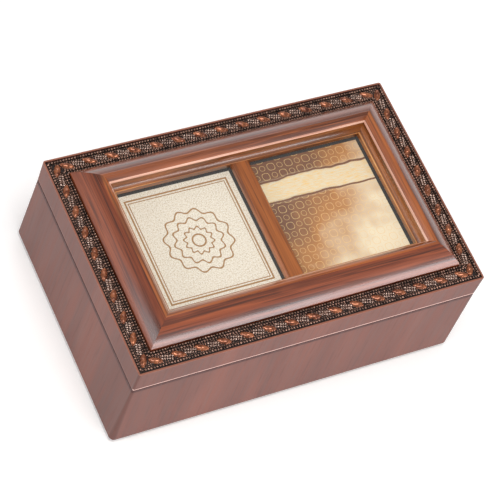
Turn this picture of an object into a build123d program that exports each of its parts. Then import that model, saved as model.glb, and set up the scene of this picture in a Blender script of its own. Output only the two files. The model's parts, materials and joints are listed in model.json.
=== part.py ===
from build123d import *
from math import atan, cos, degrees, pi, radians, sin
import os

# A keepsake box with a framed lid and an 18-note musical movement. Millimetres, +Z up.
# X runs along the box, the front is at -Y, the hinges are at +Y, and the feet stand on z = 0.

# Box carcass
box_length = 158.0
box_depth = 101.6
wall_height = 40.5
wall_thickness = 7.0
wall_flare = 1.2
corner_radius = 1.0
seam_ease = 0.35
foot_radius = 4.5
foot_height = 2.4
foot_inset = 5.1
foot_chamfer = 0.6
panel_lift = 12.0
panel_thickness = 3.0
groove_depth = 2.5
block_leg = 17.0
lining_thickness = 1.2
lining_drop = 2.0
divider_thickness = 3.0
divider_drop = 0.8
movement_bay_length = 54.0
cover_thickness = 1.5
cover_drop = 0.8
cover_clearance = 0.3
ledge_width = 2.5
ledge_height = 4.0

# Lid
band_height = 12.7
trim_edge = 0.7
trim_width = 7.7
trim_base = 1.8
bead_radius = 0.6
bead_inset = 0.9
leaf_length = 5.8
leaf_width = 2.6
leaf_height = 0.8
leaf_chamfer = 0.35
leaf_turn = -25.0
leaf_pitch = 10.0
moulding_foot = 0.5
shoulder_step = 2.9
shoulder_rise = 5.3
crest_rise = 8.8
crest_inset = 17.4
crest_round = 0.9
crest_dip = 0.1
fall_dip = 0.5
ridge_rise = 6.1
ridge_inset = 20.1
hollow_step = 0.8
hollow_dip = 2.4
window_rise = 2.0
window_inset = 22.4
lip_drop = 0.3
lip_width = 2.7
pane_thickness = 1.6
pane_clearance = 0.2
card_thickness = 0.4
backing_thickness = 2.0
lid_panel_thickness = 3.0
lid_lining_thickness = 1.0
mullion_width = 8.0
mullion_bevel = 0.8
mullion_stem = 2.5

# Hinges
hinge_x = 45.0
hinge_length = 18.0
leaf_thickness = 0.8
leaf_reach = 6.0
knuckle_radius = 1.6
knuckle_gap = 0.15
knuckle_stand = 0.3
pin_radius = 0.7
running_clearance = 0.05
hinge_screw_radius = 0.55
hinge_screw_head = 1.1
hinge_screw_length = 5.0
hinge_screw_spread = 6.0
screw_sink = 0.1
cut_margin = 1.0

# Movement, in its own frame: its x along the cylinder, z up from the bottom panel
plate_thickness = 2.4
plate_margin = 0.2
plate_corner = 3.0
arbor_radius = 1.5
barrel_x = -15.5
barrel_radius = 10.5
barrel_wall = 1.0
barrel_lift = 4.4
barrel_height = 7.8
barrel_floor = 0.8
crown_teeth = 40
crown_radius = 9.5
crown_face = 2.0
crown_height = 0.9
spring_thickness = 0.35
spring_turns = 5
spring_clearance = 0.3
ratchet_radius = 5.0
ratchet_teeth = 18
ratchet_lift = 2.8
ratchet_thickness = 1.2
ratchet_tooth_depth = 0.7
ratchet_undercut = 0.12
click_clearance = 0.2
click_tip_back = 0.5
click_tip_ahead = 0.6
click_length = 8.0
click_shoulder = 5.5
click_heel_low = 2.6
click_heel_high = 4.6
click_drop = 0.1
key_gap = 0.5
key_width = 24.0
key_height = 7.6
key_thickness = 1.8
key_hub_radius = 2.8
key_eye_radius = 1.8
key_eye_inset = 4.8
key_round_margin = 0.1
pinion_teeth = 12
tooth_share = 0.36
tooth_addendum = 0.75
tooth_dedendum = 1.0
tooth_foot = 1.25
tooth_crest = 0.62
cylinder_radius = 6.5
cylinder_gap = 0.8
cylinder_length = 19.0
cylinder_arbor_radius = 1.0
arbor_proud = 0.3
note_count = 18
note_pitch = 1.02
pin_size = 0.3
pin_rise = 0.55
pins_per_note = 5
pin_spread = 23.0
gear_module = 0.35
gear_teeth = 40
gear_gap = 0.6
gear_face = 1.5
governor_pinion_teeth = 10
governor_drop = 45.0
worm_wheel_teeth = 20
wheel_gap = 0.8
worm_wheel_face = 1.6
worm_radius = 1.5
worm_turns = 5
worm_foot_z = 1.2
worm_share = 0.30
worm_phase = 0.25
worm_dedendum = 1.3
worm_shoulder = 0.5
thread_sink = 0.15
governor_arbor_radius = 0.6
worm_tip_radius = 0.4
fan_span = 7.6
fan_height = 5.6
fan_thickness = 0.3
fan_hub_radius = 1.0
fan_stand = 2.4
bracket_thickness = 1.2
bracket_gap = 0.6
bracket_half = 3.0
bracket_head = 2.4
comb_thickness = 1.2
comb_gap = 0.15
comb_tooth_length = 8.0
comb_base_depth = 4.7
comb_tooth_share = 0.72
comb_screw_radius = 1.2
comb_screw_head = 2.1
comb_screw_rise = 1.2
comb_screw_length = 6.0
slot_width = 0.6
slot_depth = 0.45
comb_screw_inset = 4.2
comb_margin = 0.6
frame_thickness = 1.2
frame_gap = 1.8
ear_gap = 0.8
ear_thickness = 1.0
rod_radius = 0.8
rod_stand = 2.0
rod_wall_gap = 1.1
rod_tail = 1.5
rod_gap = 0.3
rod_travel = 2.5
guide_gap = 1.7
cover_hole_gap = 0.8
panel_hole_gap = 0.6
flag_gap = 0.4
flag_height = 1.6
flag_width = 1.2
mount_screw_radius = 1.25
mount_screw_head = 2.4
mount_screw_rise = 1.5
mount_screw_inset = 3.7
mount_screw_back = 5.4
boss_radius = 2.6
boss_rise = 3.0
boss_cap = 1.0

# Worked out from the values above
seam_z = foot_height + wall_height
lid_z = seam_z + band_height
floor_z = foot_height + panel_lift + panel_thickness
inner_length = box_length - 2 * wall_thickness
inner_depth = box_depth - 2 * wall_thickness
trim_inset = trim_edge + trim_width
hinge_y = box_depth / 2 + knuckle_stand + knuckle_radius
rail_foot = lip_drop + pane_thickness + card_thickness + backing_thickness
lid_under_z = lid_z - rail_foot - lid_panel_thickness - lid_lining_thickness
divider_x = inner_length / 2 - movement_bay_length - divider_thickness / 2
bay_x = inner_length / 2 - movement_bay_length / 2
cover_z = seam_z - cover_drop - cover_thickness
front_reach = box_depth / 2 + wall_flare
back_reach = hinge_y + knuckle_radius
shift_y = (front_reach - back_reach) / 2

crown_z = barrel_lift + barrel_height
crown_module = 2 * crown_radius / crown_teeth
pinion_pitch = crown_module * pinion_teeth / 2
cylinder_z = crown_z + crown_height / 2 + pinion_pitch
gear_pitch = gear_module * gear_teeth / 2
governor_pinion_pitch = gear_module * governor_pinion_teeth / 2
governor_span = gear_pitch + governor_pinion_pitch
governor_y = governor_span * cos(radians(governor_drop))
governor_z = cylinder_z - governor_span * sin(radians(governor_drop))
worm_wheel_pitch = gear_module * worm_wheel_teeth / 2
worm_lead = pi * gear_module

left_bracket_x = barrel_x + barrel_radius + bracket_gap
cylinder_left = left_bracket_x + bracket_thickness + cylinder_gap
cylinder_right = cylinder_left + cylinder_length
gear_x = cylinder_right + gear_gap
bracket_x = gear_x + gear_face + gear_gap
worm_wheel_x = bracket_x + bracket_thickness + wheel_gap
frame_side_x = worm_wheel_x + worm_wheel_face + frame_gap
worm_x = worm_wheel_x + worm_wheel_face / 2
worm_y = governor_y + worm_wheel_pitch + worm_radius
fan_lift = governor_z + (worm_turns // 2 + 1 - worm_phase) * worm_lead + fan_stand
ear_z = fan_lift + fan_height + ear_gap
guide_z = fan_lift - guide_gap - ear_thickness
rod_y = worm_y + fan_span / 2 + flag_gap + rod_stand
rod_foot_z = guide_z - rod_tail
frame_wall_y = rod_y + rod_radius + rod_wall_gap
comb_tip_y = -(cylinder_radius + pin_rise + comb_gap)
comb_root_y = comb_tip_y - comb_tooth_length
comb_back_y = comb_root_y - comb_base_depth
plate_left = barrel_x - barrel_radius
plate_right = frame_side_x + frame_thickness + plate_margin
plate_front = comb_back_y - comb_margin
plate_back = frame_wall_y + frame_thickness

SIDE_TURN = {"front": 0, "left": -90, "right": 90, "back": 180}
MITRE_MARGIN = 6.0
MITRE_REACH = 30.0
TALL = 100.0


def side_size(side):
    """Length of a side and the box's size across it."""
    if side in ("front", "back"):
        return box_length, box_depth
    return box_depth, box_length


def box_between(low, high):
    """A block from its lowest to its highest corner."""
    size = [b - a for a, b in zip(low, high)]
    return Pos(*low) * Box(*size, align=(Align.MIN, Align.MIN, Align.MIN))


def post(x, y, z, radius, height):
    """An upright round bar standing on z."""
    return Pos(x, y, z) * Cylinder(radius, height, align=(Align.CENTER, Align.CENTER, Align.MIN))


def rod_x(x, y, z, radius, length):
    """A round bar running along +X from its left end."""
    bar = Cylinder(radius, length, align=(Align.CENTER, Align.CENTER, Align.MIN))
    return Pos(x, y, z) * Rot(0, 90, 0) * bar


def rail(section, side):
    """A mitred rail. The section's x is the inset from the box's edge, its y the height."""
    run, across = side_size(side)
    start = Plane(origin=(-run, -across / 2, 0), x_dir=(0, 1, 0), z_dir=(1, 0, 0))
    bar = extrude(start * section, 2 * run)
    wide = run / 2 + MITRE_MARGIN
    narrow = run / 2 - MITRE_REACH
    corners = [
        (-wide, -across / 2 - MITRE_MARGIN),
        (wide, -across / 2 - MITRE_MARGIN),
        (narrow, -across / 2 + MITRE_REACH),
        (-narrow, -across / 2 + MITRE_REACH),
    ]
    wedge = extrude(make_face(Polyline(*corners, close=True)), TALL)
    return Rot(0, 0, SIDE_TURN[side]) * (bar & wedge).solids()[0]


def gear_profile(teeth, module, share):
    """A gear's outline with straight-sided teeth."""
    pitch = module * teeth / 2
    root = pitch - tooth_dedendum * module
    tip = pitch + tooth_addendum * module
    step = 2 * pi / teeth
    points = []
    for index in range(teeth):
        middle = index * step
        for radius, width in ((root, tooth_foot), (tip, tooth_crest)):
            points.append((radius, middle - step * share * width / 2))
        for radius, width in ((tip, tooth_crest), (root, tooth_foot)):
            points.append((radius, middle + step * share * width / 2))
    outline = [(radius * cos(angle), radius * sin(angle)) for radius, angle in points]
    return make_face(Polyline(*outline, close=True))


def gear_x_axis(teeth, module, x, y, z, face, turn=0.0):
    """A spur gear whose axis runs along X, turned about it by degrees."""
    blank = extrude(gear_profile(teeth, module, tooth_share), face)
    return Pos(x, y, z) * Rot(0, 90, 0) * Rot(0, 0, turn) * blank


def case_walls():
    """The four mitred walls of the base, their outer faces leaning in towards the seam."""
    draft = degrees(atan(wall_flare / wall_height))
    foot_plan = RectangleRounded(
        box_length + 2 * wall_flare, box_depth + 2 * wall_flare, corner_radius + wall_flare
    )
    shell = Pos(0, 0, foot_height) * extrude(foot_plan, wall_height, taper=draft)
    section = make_face(
        Polyline(
            (-wall_flare - cut_margin, foot_height),
            (wall_thickness, foot_height),
            (wall_thickness, seam_z),
            (seam_ease, seam_z),
            (-wall_flare - cut_margin, seam_z - seam_ease - wall_flare - cut_margin),
            close=True,
        )
    )
    return {side: rail(section, side) & shell for side in SIDE_TURN}


def bottom_panel():
    """The panel let into grooves in the walls."""
    return box_between(
        (
            -inner_length / 2 - groove_depth,
            -inner_depth / 2 - groove_depth,
            floor_z - panel_thickness,
        ),
        (inner_length / 2 + groove_depth, inner_depth / 2 + groove_depth, floor_z),
    )


def corner_blocks():
    """Four glue blocks under the panel, one in each corner."""
    blocks = []
    for sx in (-1, 1):
        for sy in (-1, 1):
            x = sx * inner_length / 2
            y = sy * inner_depth / 2
            plan = Polyline((x, y), (x - sx * block_leg, y), (x, y - sy * block_leg), close=True)
            block = extrude(make_face(plan), panel_lift, dir=(0, 0, 1))
            blocks.append(Pos(0, 0, foot_height) * block)
    return blocks


def feet():
    """Four round bumper feet."""
    bumpers = []
    for sx in (-1, 1):
        for sy in (-1, 1):
            x = sx * (box_length / 2 - foot_inset)
            y = sy * (box_depth / 2 - foot_inset)
            bumper = post(x, y, 0, foot_radius, foot_height)
            low_edge = bumper.edges().group_by(Axis.Z)[0]
            bumpers.append(chamfer(low_edge, foot_chamfer))
    return bumpers


def compartment():
    """The divider, the keepsake bay's lining, and the movement bay's ledges and clear cover."""
    top = seam_z - divider_drop
    divider = box_between(
        (divider_x - divider_thickness / 2, -inner_depth / 2, floor_z),
        (divider_x + divider_thickness / 2, inner_depth / 2, top),
    )
    left = -inner_length / 2
    right = divider_x - divider_thickness / 2
    low_y = -inner_depth / 2
    high_y = inner_depth / 2
    t = lining_thickness
    pad = box_between((left, low_y, floor_z), (right, high_y, floor_z + t))
    lining_top = seam_z - lining_drop
    sides = [
        box_between((left, low_y, floor_z + t), (left + t, high_y, lining_top)),
        box_between((right - t, low_y, floor_z + t), (right, high_y, lining_top)),
        box_between((left + t, low_y, floor_z + t), (right - t, low_y + t, lining_top)),
        box_between((left + t, high_y - t, floor_z + t), (right - t, high_y, lining_top)),
    ]
    bay_left = divider_x + divider_thickness / 2
    bay_right = inner_length / 2
    ledges = []
    for edge, step in ((low_y, ledge_width), (high_y, -ledge_width)):
        low, high = sorted((edge, edge + step))
        ledges.append(
            box_between((bay_left, low, cover_z - ledge_height), (bay_right, high, cover_z))
        )
    gap = cover_clearance
    cover = box_between(
        (bay_left + gap, low_y + gap, cover_z),
        (bay_right - gap, high_y - gap, cover_z + cover_thickness),
    )
    return divider, pad, sides, ledges, cover


def lid_bands():
    """The sides of the lid, rabbeted on top for the bead-and-leaf strip."""
    section = make_face(
        Polyline(
            (0, seam_z + seam_ease),
            (seam_ease, seam_z),
            (trim_inset, seam_z),
            (trim_inset, lid_z - trim_base),
            (trim_edge, lid_z - trim_base),
            (trim_edge, lid_z),
            (0, lid_z),
            close=True,
        )
    )
    plan = RectangleRounded(box_length, box_depth, corner_radius)
    shell = Pos(0, 0, seam_z) * extrude(plan, band_height)
    return {side: rail(section, side) & shell for side in SIDE_TURN}


def leaf_boss():
    """One almond-shaped leaf of the strip, lying on z = 0 along x."""
    half = leaf_length / 2
    over = ThreePointArc((-half, 0), (0, leaf_width / 2), (half, 0))
    under = ThreePointArc((half, 0), (0, -leaf_width / 2), (-half, 0))
    solid = extrude(make_face(over + under), leaf_height)
    return chamfer(solid.edges().group_by(Axis.Z)[-1], leaf_chamfer)


def trims():
    """The bead-and-leaf strips, one to each side of the lid."""
    inner = trim_inset - bead_inset
    outer = trim_edge + bead_inset
    base = make_face(
        Polyline(
            (trim_edge, lid_z - trim_base),
            (trim_inset, lid_z - trim_base),
            (trim_inset, lid_z),
            (trim_edge, lid_z),
            close=True,
        )
    )
    beads = [Pos(inset, lid_z) * Circle(bead_radius) for inset in (outer, inner)]
    section = base + beads
    strips = {}
    for side in SIDE_TURN:
        run, across = side_size(side)
        count = int(run // leaf_pitch)
        strip = rail(section, side)
        bosses = []
        for index in range(count):
            along = (index - (count - 1) / 2) * leaf_pitch
            place = Pos(along, -across / 2 + trim_edge + trim_width / 2, lid_z)
            boss = place * Rot(0, 0, leaf_turn) * leaf_boss()
            bosses.append(Rot(0, 0, SIDE_TURN[side]) * boss)
        strips[side] = strip.fuse(*bosses)
    return strips


def moulding_section():
    """The moulding's profile: a swelling outer slope, a crest, a ridge and the window's lip."""
    bottom = lid_z - rail_foot
    lip_z = lid_z - lip_drop
    toe = (trim_inset, lid_z + moulding_foot)
    shoulder = (trim_inset + shoulder_step, lid_z + shoulder_rise)
    crest = (crest_inset - crest_round, lid_z + crest_rise - crest_dip)
    brow = (crest_inset, lid_z + crest_rise)
    fall = (crest_inset + crest_round, lid_z + crest_rise - fall_dip)
    ridge = (ridge_inset, lid_z + ridge_rise)
    hollow = (ridge_inset + hollow_step, lid_z + ridge_rise - hollow_dip)
    edge = (window_inset, lid_z + window_rise)
    rebate = window_inset - lip_width
    outline = [
        Line((trim_inset, bottom), toe),
        ThreePointArc(toe, shoulder, crest),
        ThreePointArc(crest, brow, fall),
        Line(fall, ridge),
        ThreePointArc(ridge, hollow, edge),
        Line(edge, (window_inset, lip_z)),
        Line((window_inset, lip_z), (rebate, lip_z)),
        Line((rebate, lip_z), (rebate, bottom)),
        Line((rebate, bottom), (trim_inset, bottom)),
    ]
    return make_face(Curve() + outline)


def window_parts():
    """The mullion, the two panes, the two cards and the boards behind them."""
    lip_z = lid_z - lip_drop
    half_depth = box_depth / 2 - window_inset
    rebate_x = box_length / 2 - window_inset + lip_width
    rebate_y = half_depth + lip_width
    top = lid_z + window_rise
    half = mullion_width / 2
    stem = mullion_stem / 2
    stem_foot = lip_z - pane_thickness - card_thickness
    plan = Polyline(
        (-half, lip_z),
        (-half, top - mullion_bevel),
        (-half + mullion_bevel, top),
        (half - mullion_bevel, top),
        (half, top - mullion_bevel),
        (half, lip_z),
        (stem, lip_z),
        (stem, stem_foot),
        (-stem, stem_foot),
        (-stem, lip_z),
        close=True,
    )
    front = Plane(origin=(0, -half_depth, 0), x_dir=(1, 0, 0), z_dir=(0, -1, 0))
    mullion = extrude(front * make_face(plan), -2 * half_depth)
    gap = pane_clearance
    panes = {}
    cards = {}
    for name, sign in (("left", -1), ("right", 1)):
        low, high = sorted((sign * (stem + gap), sign * (rebate_x - gap)))
        y = rebate_y - gap
        pane_low = lip_z - pane_thickness
        card_low = pane_low - card_thickness
        panes[name] = box_between((low, -y, pane_low), (high, y, lip_z))
        cards[name] = box_between((low, -y, card_low), (high, y, pane_low))
    backing = box_between(
        (-rebate_x + gap, -rebate_y + gap, lid_z - rail_foot),
        (rebate_x - gap, rebate_y - gap, lid_z - rail_foot + backing_thickness),
    )
    panel_x = box_length / 2 - trim_inset
    panel_y = box_depth / 2 - trim_inset
    panel_z = lid_z - rail_foot - lid_panel_thickness
    panel = box_between(
        (-panel_x, -panel_y, panel_z), (panel_x, panel_y, panel_z + lid_panel_thickness)
    )
    lining = box_between(
        (-panel_x + gap, -panel_y + gap, lid_under_z), (panel_x - gap, panel_y - gap, panel_z)
    )
    return mullion, panes, cards, backing, panel, lining


def knuckle(start, end, bore):
    """A length of hinge barrel about the hinge axis, bored for the pin."""
    tube = rod_x(start, hinge_y, seam_z, knuckle_radius, end - start)
    return tube - rod_x(start, hinge_y, seam_z, bore, end - start)


def hinge_screw(x, y, z, up):
    """A countersunk wood screw, its head facing up or down."""
    taper = hinge_screw_head - hinge_screw_radius
    head = Cone(
        hinge_screw_radius,
        hinge_screw_head,
        taper,
        align=(Align.CENTER, Align.CENTER, Align.MAX),
    )
    shank = Cylinder(
        hinge_screw_radius,
        hinge_screw_length,
        align=(Align.CENTER, Align.CENTER, Align.MAX),
    )
    screw = head + Pos(0, 0, -taper) * shank
    return Pos(x, y, z) * (screw if up else Rot(180, 0, 0) * screw)


def hinges():
    """Two butt hinges let into the seam at the back, with their pins and screws."""
    case_leaves = []
    lid_leaves = []
    pins = []
    case_screws = []
    lid_screws = []
    back = box_depth / 2
    for centre in (-hinge_x, hinge_x):
        low = centre - hinge_length / 2
        high = centre + hinge_length / 2
        third = hinge_length / 3
        inner_low = low + third
        inner_high = high - third
        reach = hinge_length + 2 * cut_margin
        bore = rod_x(low - cut_margin, hinge_y, seam_z, pin_radius, reach)
        wide_bore = rod_x(low - cut_margin, hinge_y, seam_z, knuckle_radius, reach)
        plate = box_between(
            (low, back - leaf_reach, seam_z - leaf_thickness), (high, hinge_y, seam_z)
        )
        middle = box_between(
            (inner_low - knuckle_gap, back, seam_z - TALL / 2),
            (inner_high + knuckle_gap, hinge_y + knuckle_radius, seam_z + TALL / 2),
        )
        ears = [
            knuckle(low, inner_low - knuckle_gap, pin_radius),
            knuckle(inner_high + knuckle_gap, high, pin_radius),
        ]
        case_leaf = (plate - middle - bore).fuse(*ears)
        tongue = box_between(
            (low, back - leaf_reach, seam_z), (high, back, seam_z + leaf_thickness)
        )
        bridge = box_between(
            (inner_low, back, seam_z), (inner_high, hinge_y, seam_z + leaf_thickness)
        )
        eye = knuckle(inner_low, inner_high, pin_radius + running_clearance)
        lid_leaf = (tongue + (bridge - wide_bore)).fuse(eye)
        for offset in (-hinge_screw_spread, hinge_screw_spread):
            y = back - leaf_reach / 2
            down = hinge_screw(centre + offset, y, seam_z - screw_sink, True)
            over = hinge_screw(centre + offset, y, seam_z + screw_sink, False)
            case_screws.append(down)
            lid_screws.append(over)
        case_leaves.append(case_leaf)
        lid_leaves.append(lid_leaf)
        pins.append(rod_x(low, hinge_y, seam_z, pin_radius, hinge_length))
    return case_leaves, lid_leaves, pins, case_screws, lid_screws


def winding_parts():
    """The winding arbor with its ratchet wheel, and the butterfly key under the panel."""
    drop = panel_thickness + key_gap
    top = barrel_lift + barrel_height + arbor_proud
    arbor = post(barrel_x, 0, -drop - key_hub_radius, arbor_radius, top + drop + key_hub_radius)
    step = 2 * pi / ratchet_teeth
    points = []
    for index in range(ratchet_teeth):
        angle = index * step
        points.append((ratchet_radius * cos(angle), ratchet_radius * sin(angle)))
        valley = ratchet_radius - ratchet_tooth_depth
        under = angle + ratchet_undercut * step
        points.append((valley * cos(under), valley * sin(under)))
    wheel = extrude(make_face(Polyline(*points, close=True)), ratchet_thickness)
    wheel = Pos(barrel_x, 0, ratchet_lift) * wheel - arbor
    low = -drop - key_height
    hub = post(barrel_x, 0, low, key_hub_radius, key_height)
    wings = box_between(
        (barrel_x - key_width / 2, -key_thickness / 2, low),
        (barrel_x + key_width / 2, key_thickness / 2, low + key_height),
    )
    corners = wings.edges().filter_by(Axis.Y)
    wings = fillet(corners, key_height / 2 - key_round_margin)
    eyes = [
        Pos(barrel_x + side * (key_width / 2 - key_eye_inset), 0, low + key_height / 2)
        * Rot(90, 0, 0)
        * Cylinder(key_eye_radius, key_thickness * 2)
        for side in (-1, 1)
    ]
    key = (hub + wings - eyes) - arbor
    return arbor, wheel, key


def tooth_block(low, high, half):
    """A flat plan of one crown tooth, from its inner to its outer radius."""
    return make_face(Polyline((low, -half), (high, -half), (high, half), (low, half), close=True))


def barrel_parts():
    """The spring barrel with its crown teeth, its floor, and the wound mainspring."""
    bore = arbor_radius + running_clearance
    wall = post(barrel_x, 0, barrel_lift, barrel_radius, barrel_height)
    room_radius = barrel_radius - barrel_wall
    room = post(barrel_x, 0, barrel_lift, room_radius, barrel_height - barrel_wall)
    shaft = post(barrel_x, 0, barrel_lift - cut_margin, bore, barrel_height + 2 * cut_margin)
    drum = wall - room - shaft
    low = crown_radius - crown_face / 2
    high = crown_radius + crown_face / 2
    step = 2 * pi / crown_teeth
    half = step * tooth_share / 2 * crown_radius
    tooth = loft(
        [
            tooth_block(low, high, half * tooth_foot),
            Pos(0, 0, crown_height) * tooth_block(low, high, half * tooth_crest),
        ]
    )
    teeth = [
        Pos(barrel_x, 0, crown_z) * Rot(0, 0, degrees(index * step)) * tooth
        for index in range(crown_teeth)
    ]
    drum = drum.fuse(*teeth)
    floor = post(barrel_x, 0, barrel_lift, room_radius, barrel_floor) - shaft
    inner = arbor_radius + spring_thickness / 2 + spring_clearance
    outer = room_radius - spring_thickness / 2
    halves = 2 * spring_turns
    growth = (outer - inner) / halves
    low_z = barrel_lift + barrel_floor + spring_clearance
    high_z = crown_z - barrel_wall - spring_clearance
    arcs = []
    for index in range(halves):
        centre = (growth if index % 2 else 0.0, 0, 0)
        start = 180 if index % 2 else 0
        arcs.append(CenterArc(centre, inner + index * growth, start, 180))
    start_plane = Plane(origin=(inner, 0, 0), x_dir=(1, 0, 0), z_dir=(0, 1, 0))
    ribbon = start_plane * Rectangle(spring_thickness, high_z - low_z)
    coil = sweep(ribbon, path=Wire(arcs))
    mainspring = Pos(barrel_x, 0, (low_z + high_z) / 2) * coil
    return drum, floor, mainspring


def cylinder_parts():
    """The pinned cylinder, its arbor, the pinion on the crown teeth, and the large gear."""
    start = barrel_x + crown_radius - crown_face / 2
    end = bracket_x + bracket_thickness + arbor_proud
    arbor = rod_x(start, 0, cylinder_z, cylinder_arbor_radius, end - start)
    drum = rod_x(cylinder_left, 0, cylinder_z, cylinder_radius, cylinder_length)
    pins = []
    upright = (Align.CENTER, Align.MIN, Align.CENTER)
    for note in range(note_count):
        x = note_x(note)
        for index in range(pins_per_note):
            angle = (index * 360 / pins_per_note + note * pin_spread * (1 + index % 3)) % 360
            reach = Box(pin_size, cylinder_radius + pin_rise, pin_size, align=upright)
            pins.append(Pos(x, 0, cylinder_z) * Rot(angle, 0, 0) * reach)
    drum = drum.fuse(*pins) - arbor
    pinion_turn = 180 / pinion_teeth
    pinion = gear_x_axis(
        pinion_teeth, crown_module, start, 0, cylinder_z, crown_face, pinion_turn
    )
    gear = gear_x_axis(
        gear_teeth, gear_module, gear_x, 0, cylinder_z, gear_face, 90 - governor_drop
    )
    return drum, arbor, pinion - arbor, gear - arbor


def note_x(note):
    """Where one note's row of pins and its comb tooth lie along the cylinder."""
    middle = cylinder_left + cylinder_length / 2
    return middle + (note - (note_count - 1) / 2) * note_pitch


def comb_parts():
    """The steel comb and its two screws."""
    low_z = cylinder_z - comb_thickness / 2
    root_y = comb_root_y
    back_y = comb_back_y
    base = box_between(
        (cylinder_left, back_y, low_z), (cylinder_right, root_y, low_z + comb_thickness)
    )
    half = note_pitch * comb_tooth_share / 2
    teeth = []
    for note in range(note_count):
        x = note_x(note)
        teeth.append(
            box_between((x - half, root_y, low_z), (x + half, comb_tip_y, low_z + comb_thickness))
        )
    screws = []
    for x in (cylinder_left + comb_screw_inset, cylinder_right - comb_screw_inset):
        y = (root_y + back_y) / 2
        reach = comb_screw_length + comb_thickness
        shank = post(x, y, low_z - comb_screw_length, comb_screw_radius, reach)
        head = post(x, y, low_z + comb_thickness, comb_screw_head, comb_screw_rise)
        slot_z = low_z + comb_thickness + comb_screw_rise
        slot = Pos(x, y, slot_z) * Box(2 * comb_screw_head + cut_margin, slot_width, slot_depth * 2)
        screws.append(shank + head - slot)
    comb = base.fuse(*teeth) - screws
    block = box_between(
        (cylinder_left, back_y, plate_thickness), (cylinder_right, root_y, low_z)
    )
    return comb, screws, block - screws


def governor_parts():
    """The governor arbor, its pinion and worm wheel, the worm, and the fan."""
    start = gear_x - arbor_proud
    end = frame_side_x + frame_thickness
    arbor = rod_x(start, governor_y, governor_z, governor_arbor_radius, end - start)
    gap_turn = 180 / governor_pinion_teeth
    pinion = gear_x_axis(
        governor_pinion_teeth,
        gear_module,
        gear_x,
        governor_y,
        governor_z,
        gear_face,
        270 - governor_drop + gap_turn,
    )
    wheel = gear_x_axis(
        worm_wheel_teeth, gear_module, worm_wheel_x, governor_y, governor_z, worm_wheel_face, 90
    )
    low = governor_z - (worm_turns // 2 + worm_phase) * worm_lead
    height = worm_turns * worm_lead
    root = worm_radius - worm_dedendum * gear_module
    path = Helix(worm_lead, height, root)
    crest = worm_radius + tooth_addendum * gear_module
    foot_half = worm_lead * worm_share / 2 * tooth_foot
    tip_half = worm_lead * worm_share / 2 * tooth_crest
    outline = Polyline(
        (root - thread_sink, -foot_half),
        (crest, -tip_half),
        (crest, tip_half),
        (root - thread_sink, foot_half),
        close=True,
    )
    section = Plane.XZ * make_face(outline)
    thread = Pos(worm_x, worm_y, low) * sweep(section, path=path, is_frenet=True)
    core = post(worm_x, worm_y, low - worm_shoulder, root, height + 2 * worm_shoulder)
    tip = post(worm_x, worm_y, worm_foot_z, worm_tip_radius, ear_z + ear_thickness - worm_foot_z)
    worm = core.fuse(thread, tip)
    hub = post(worm_x, worm_y, fan_lift, fan_hub_radius, fan_height)
    blade = Pos(worm_x, worm_y, fan_lift + fan_height / 2) * Box(fan_span, fan_thickness, fan_height)
    fan = (hub + blade) - tip
    return arbor, pinion - arbor, wheel - arbor, worm, fan


def stop_rod():
    """The rod that the lid holds down, with the flag that stands beside the fan."""
    top = lid_under_z - floor_z - rod_gap
    rod = post(worm_x, rod_y, rod_foot_z, rod_radius, top - rod_foot_z)
    reach = worm_y + fan_span / 2 + flag_gap
    flag_z = ear_z - flag_gap - rod_travel - flag_height
    flag = box_between(
        (worm_x - flag_width / 2, reach, flag_z), (worm_x + flag_width / 2, rod_y, flag_z + flag_height)
    )
    return rod + flag


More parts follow.
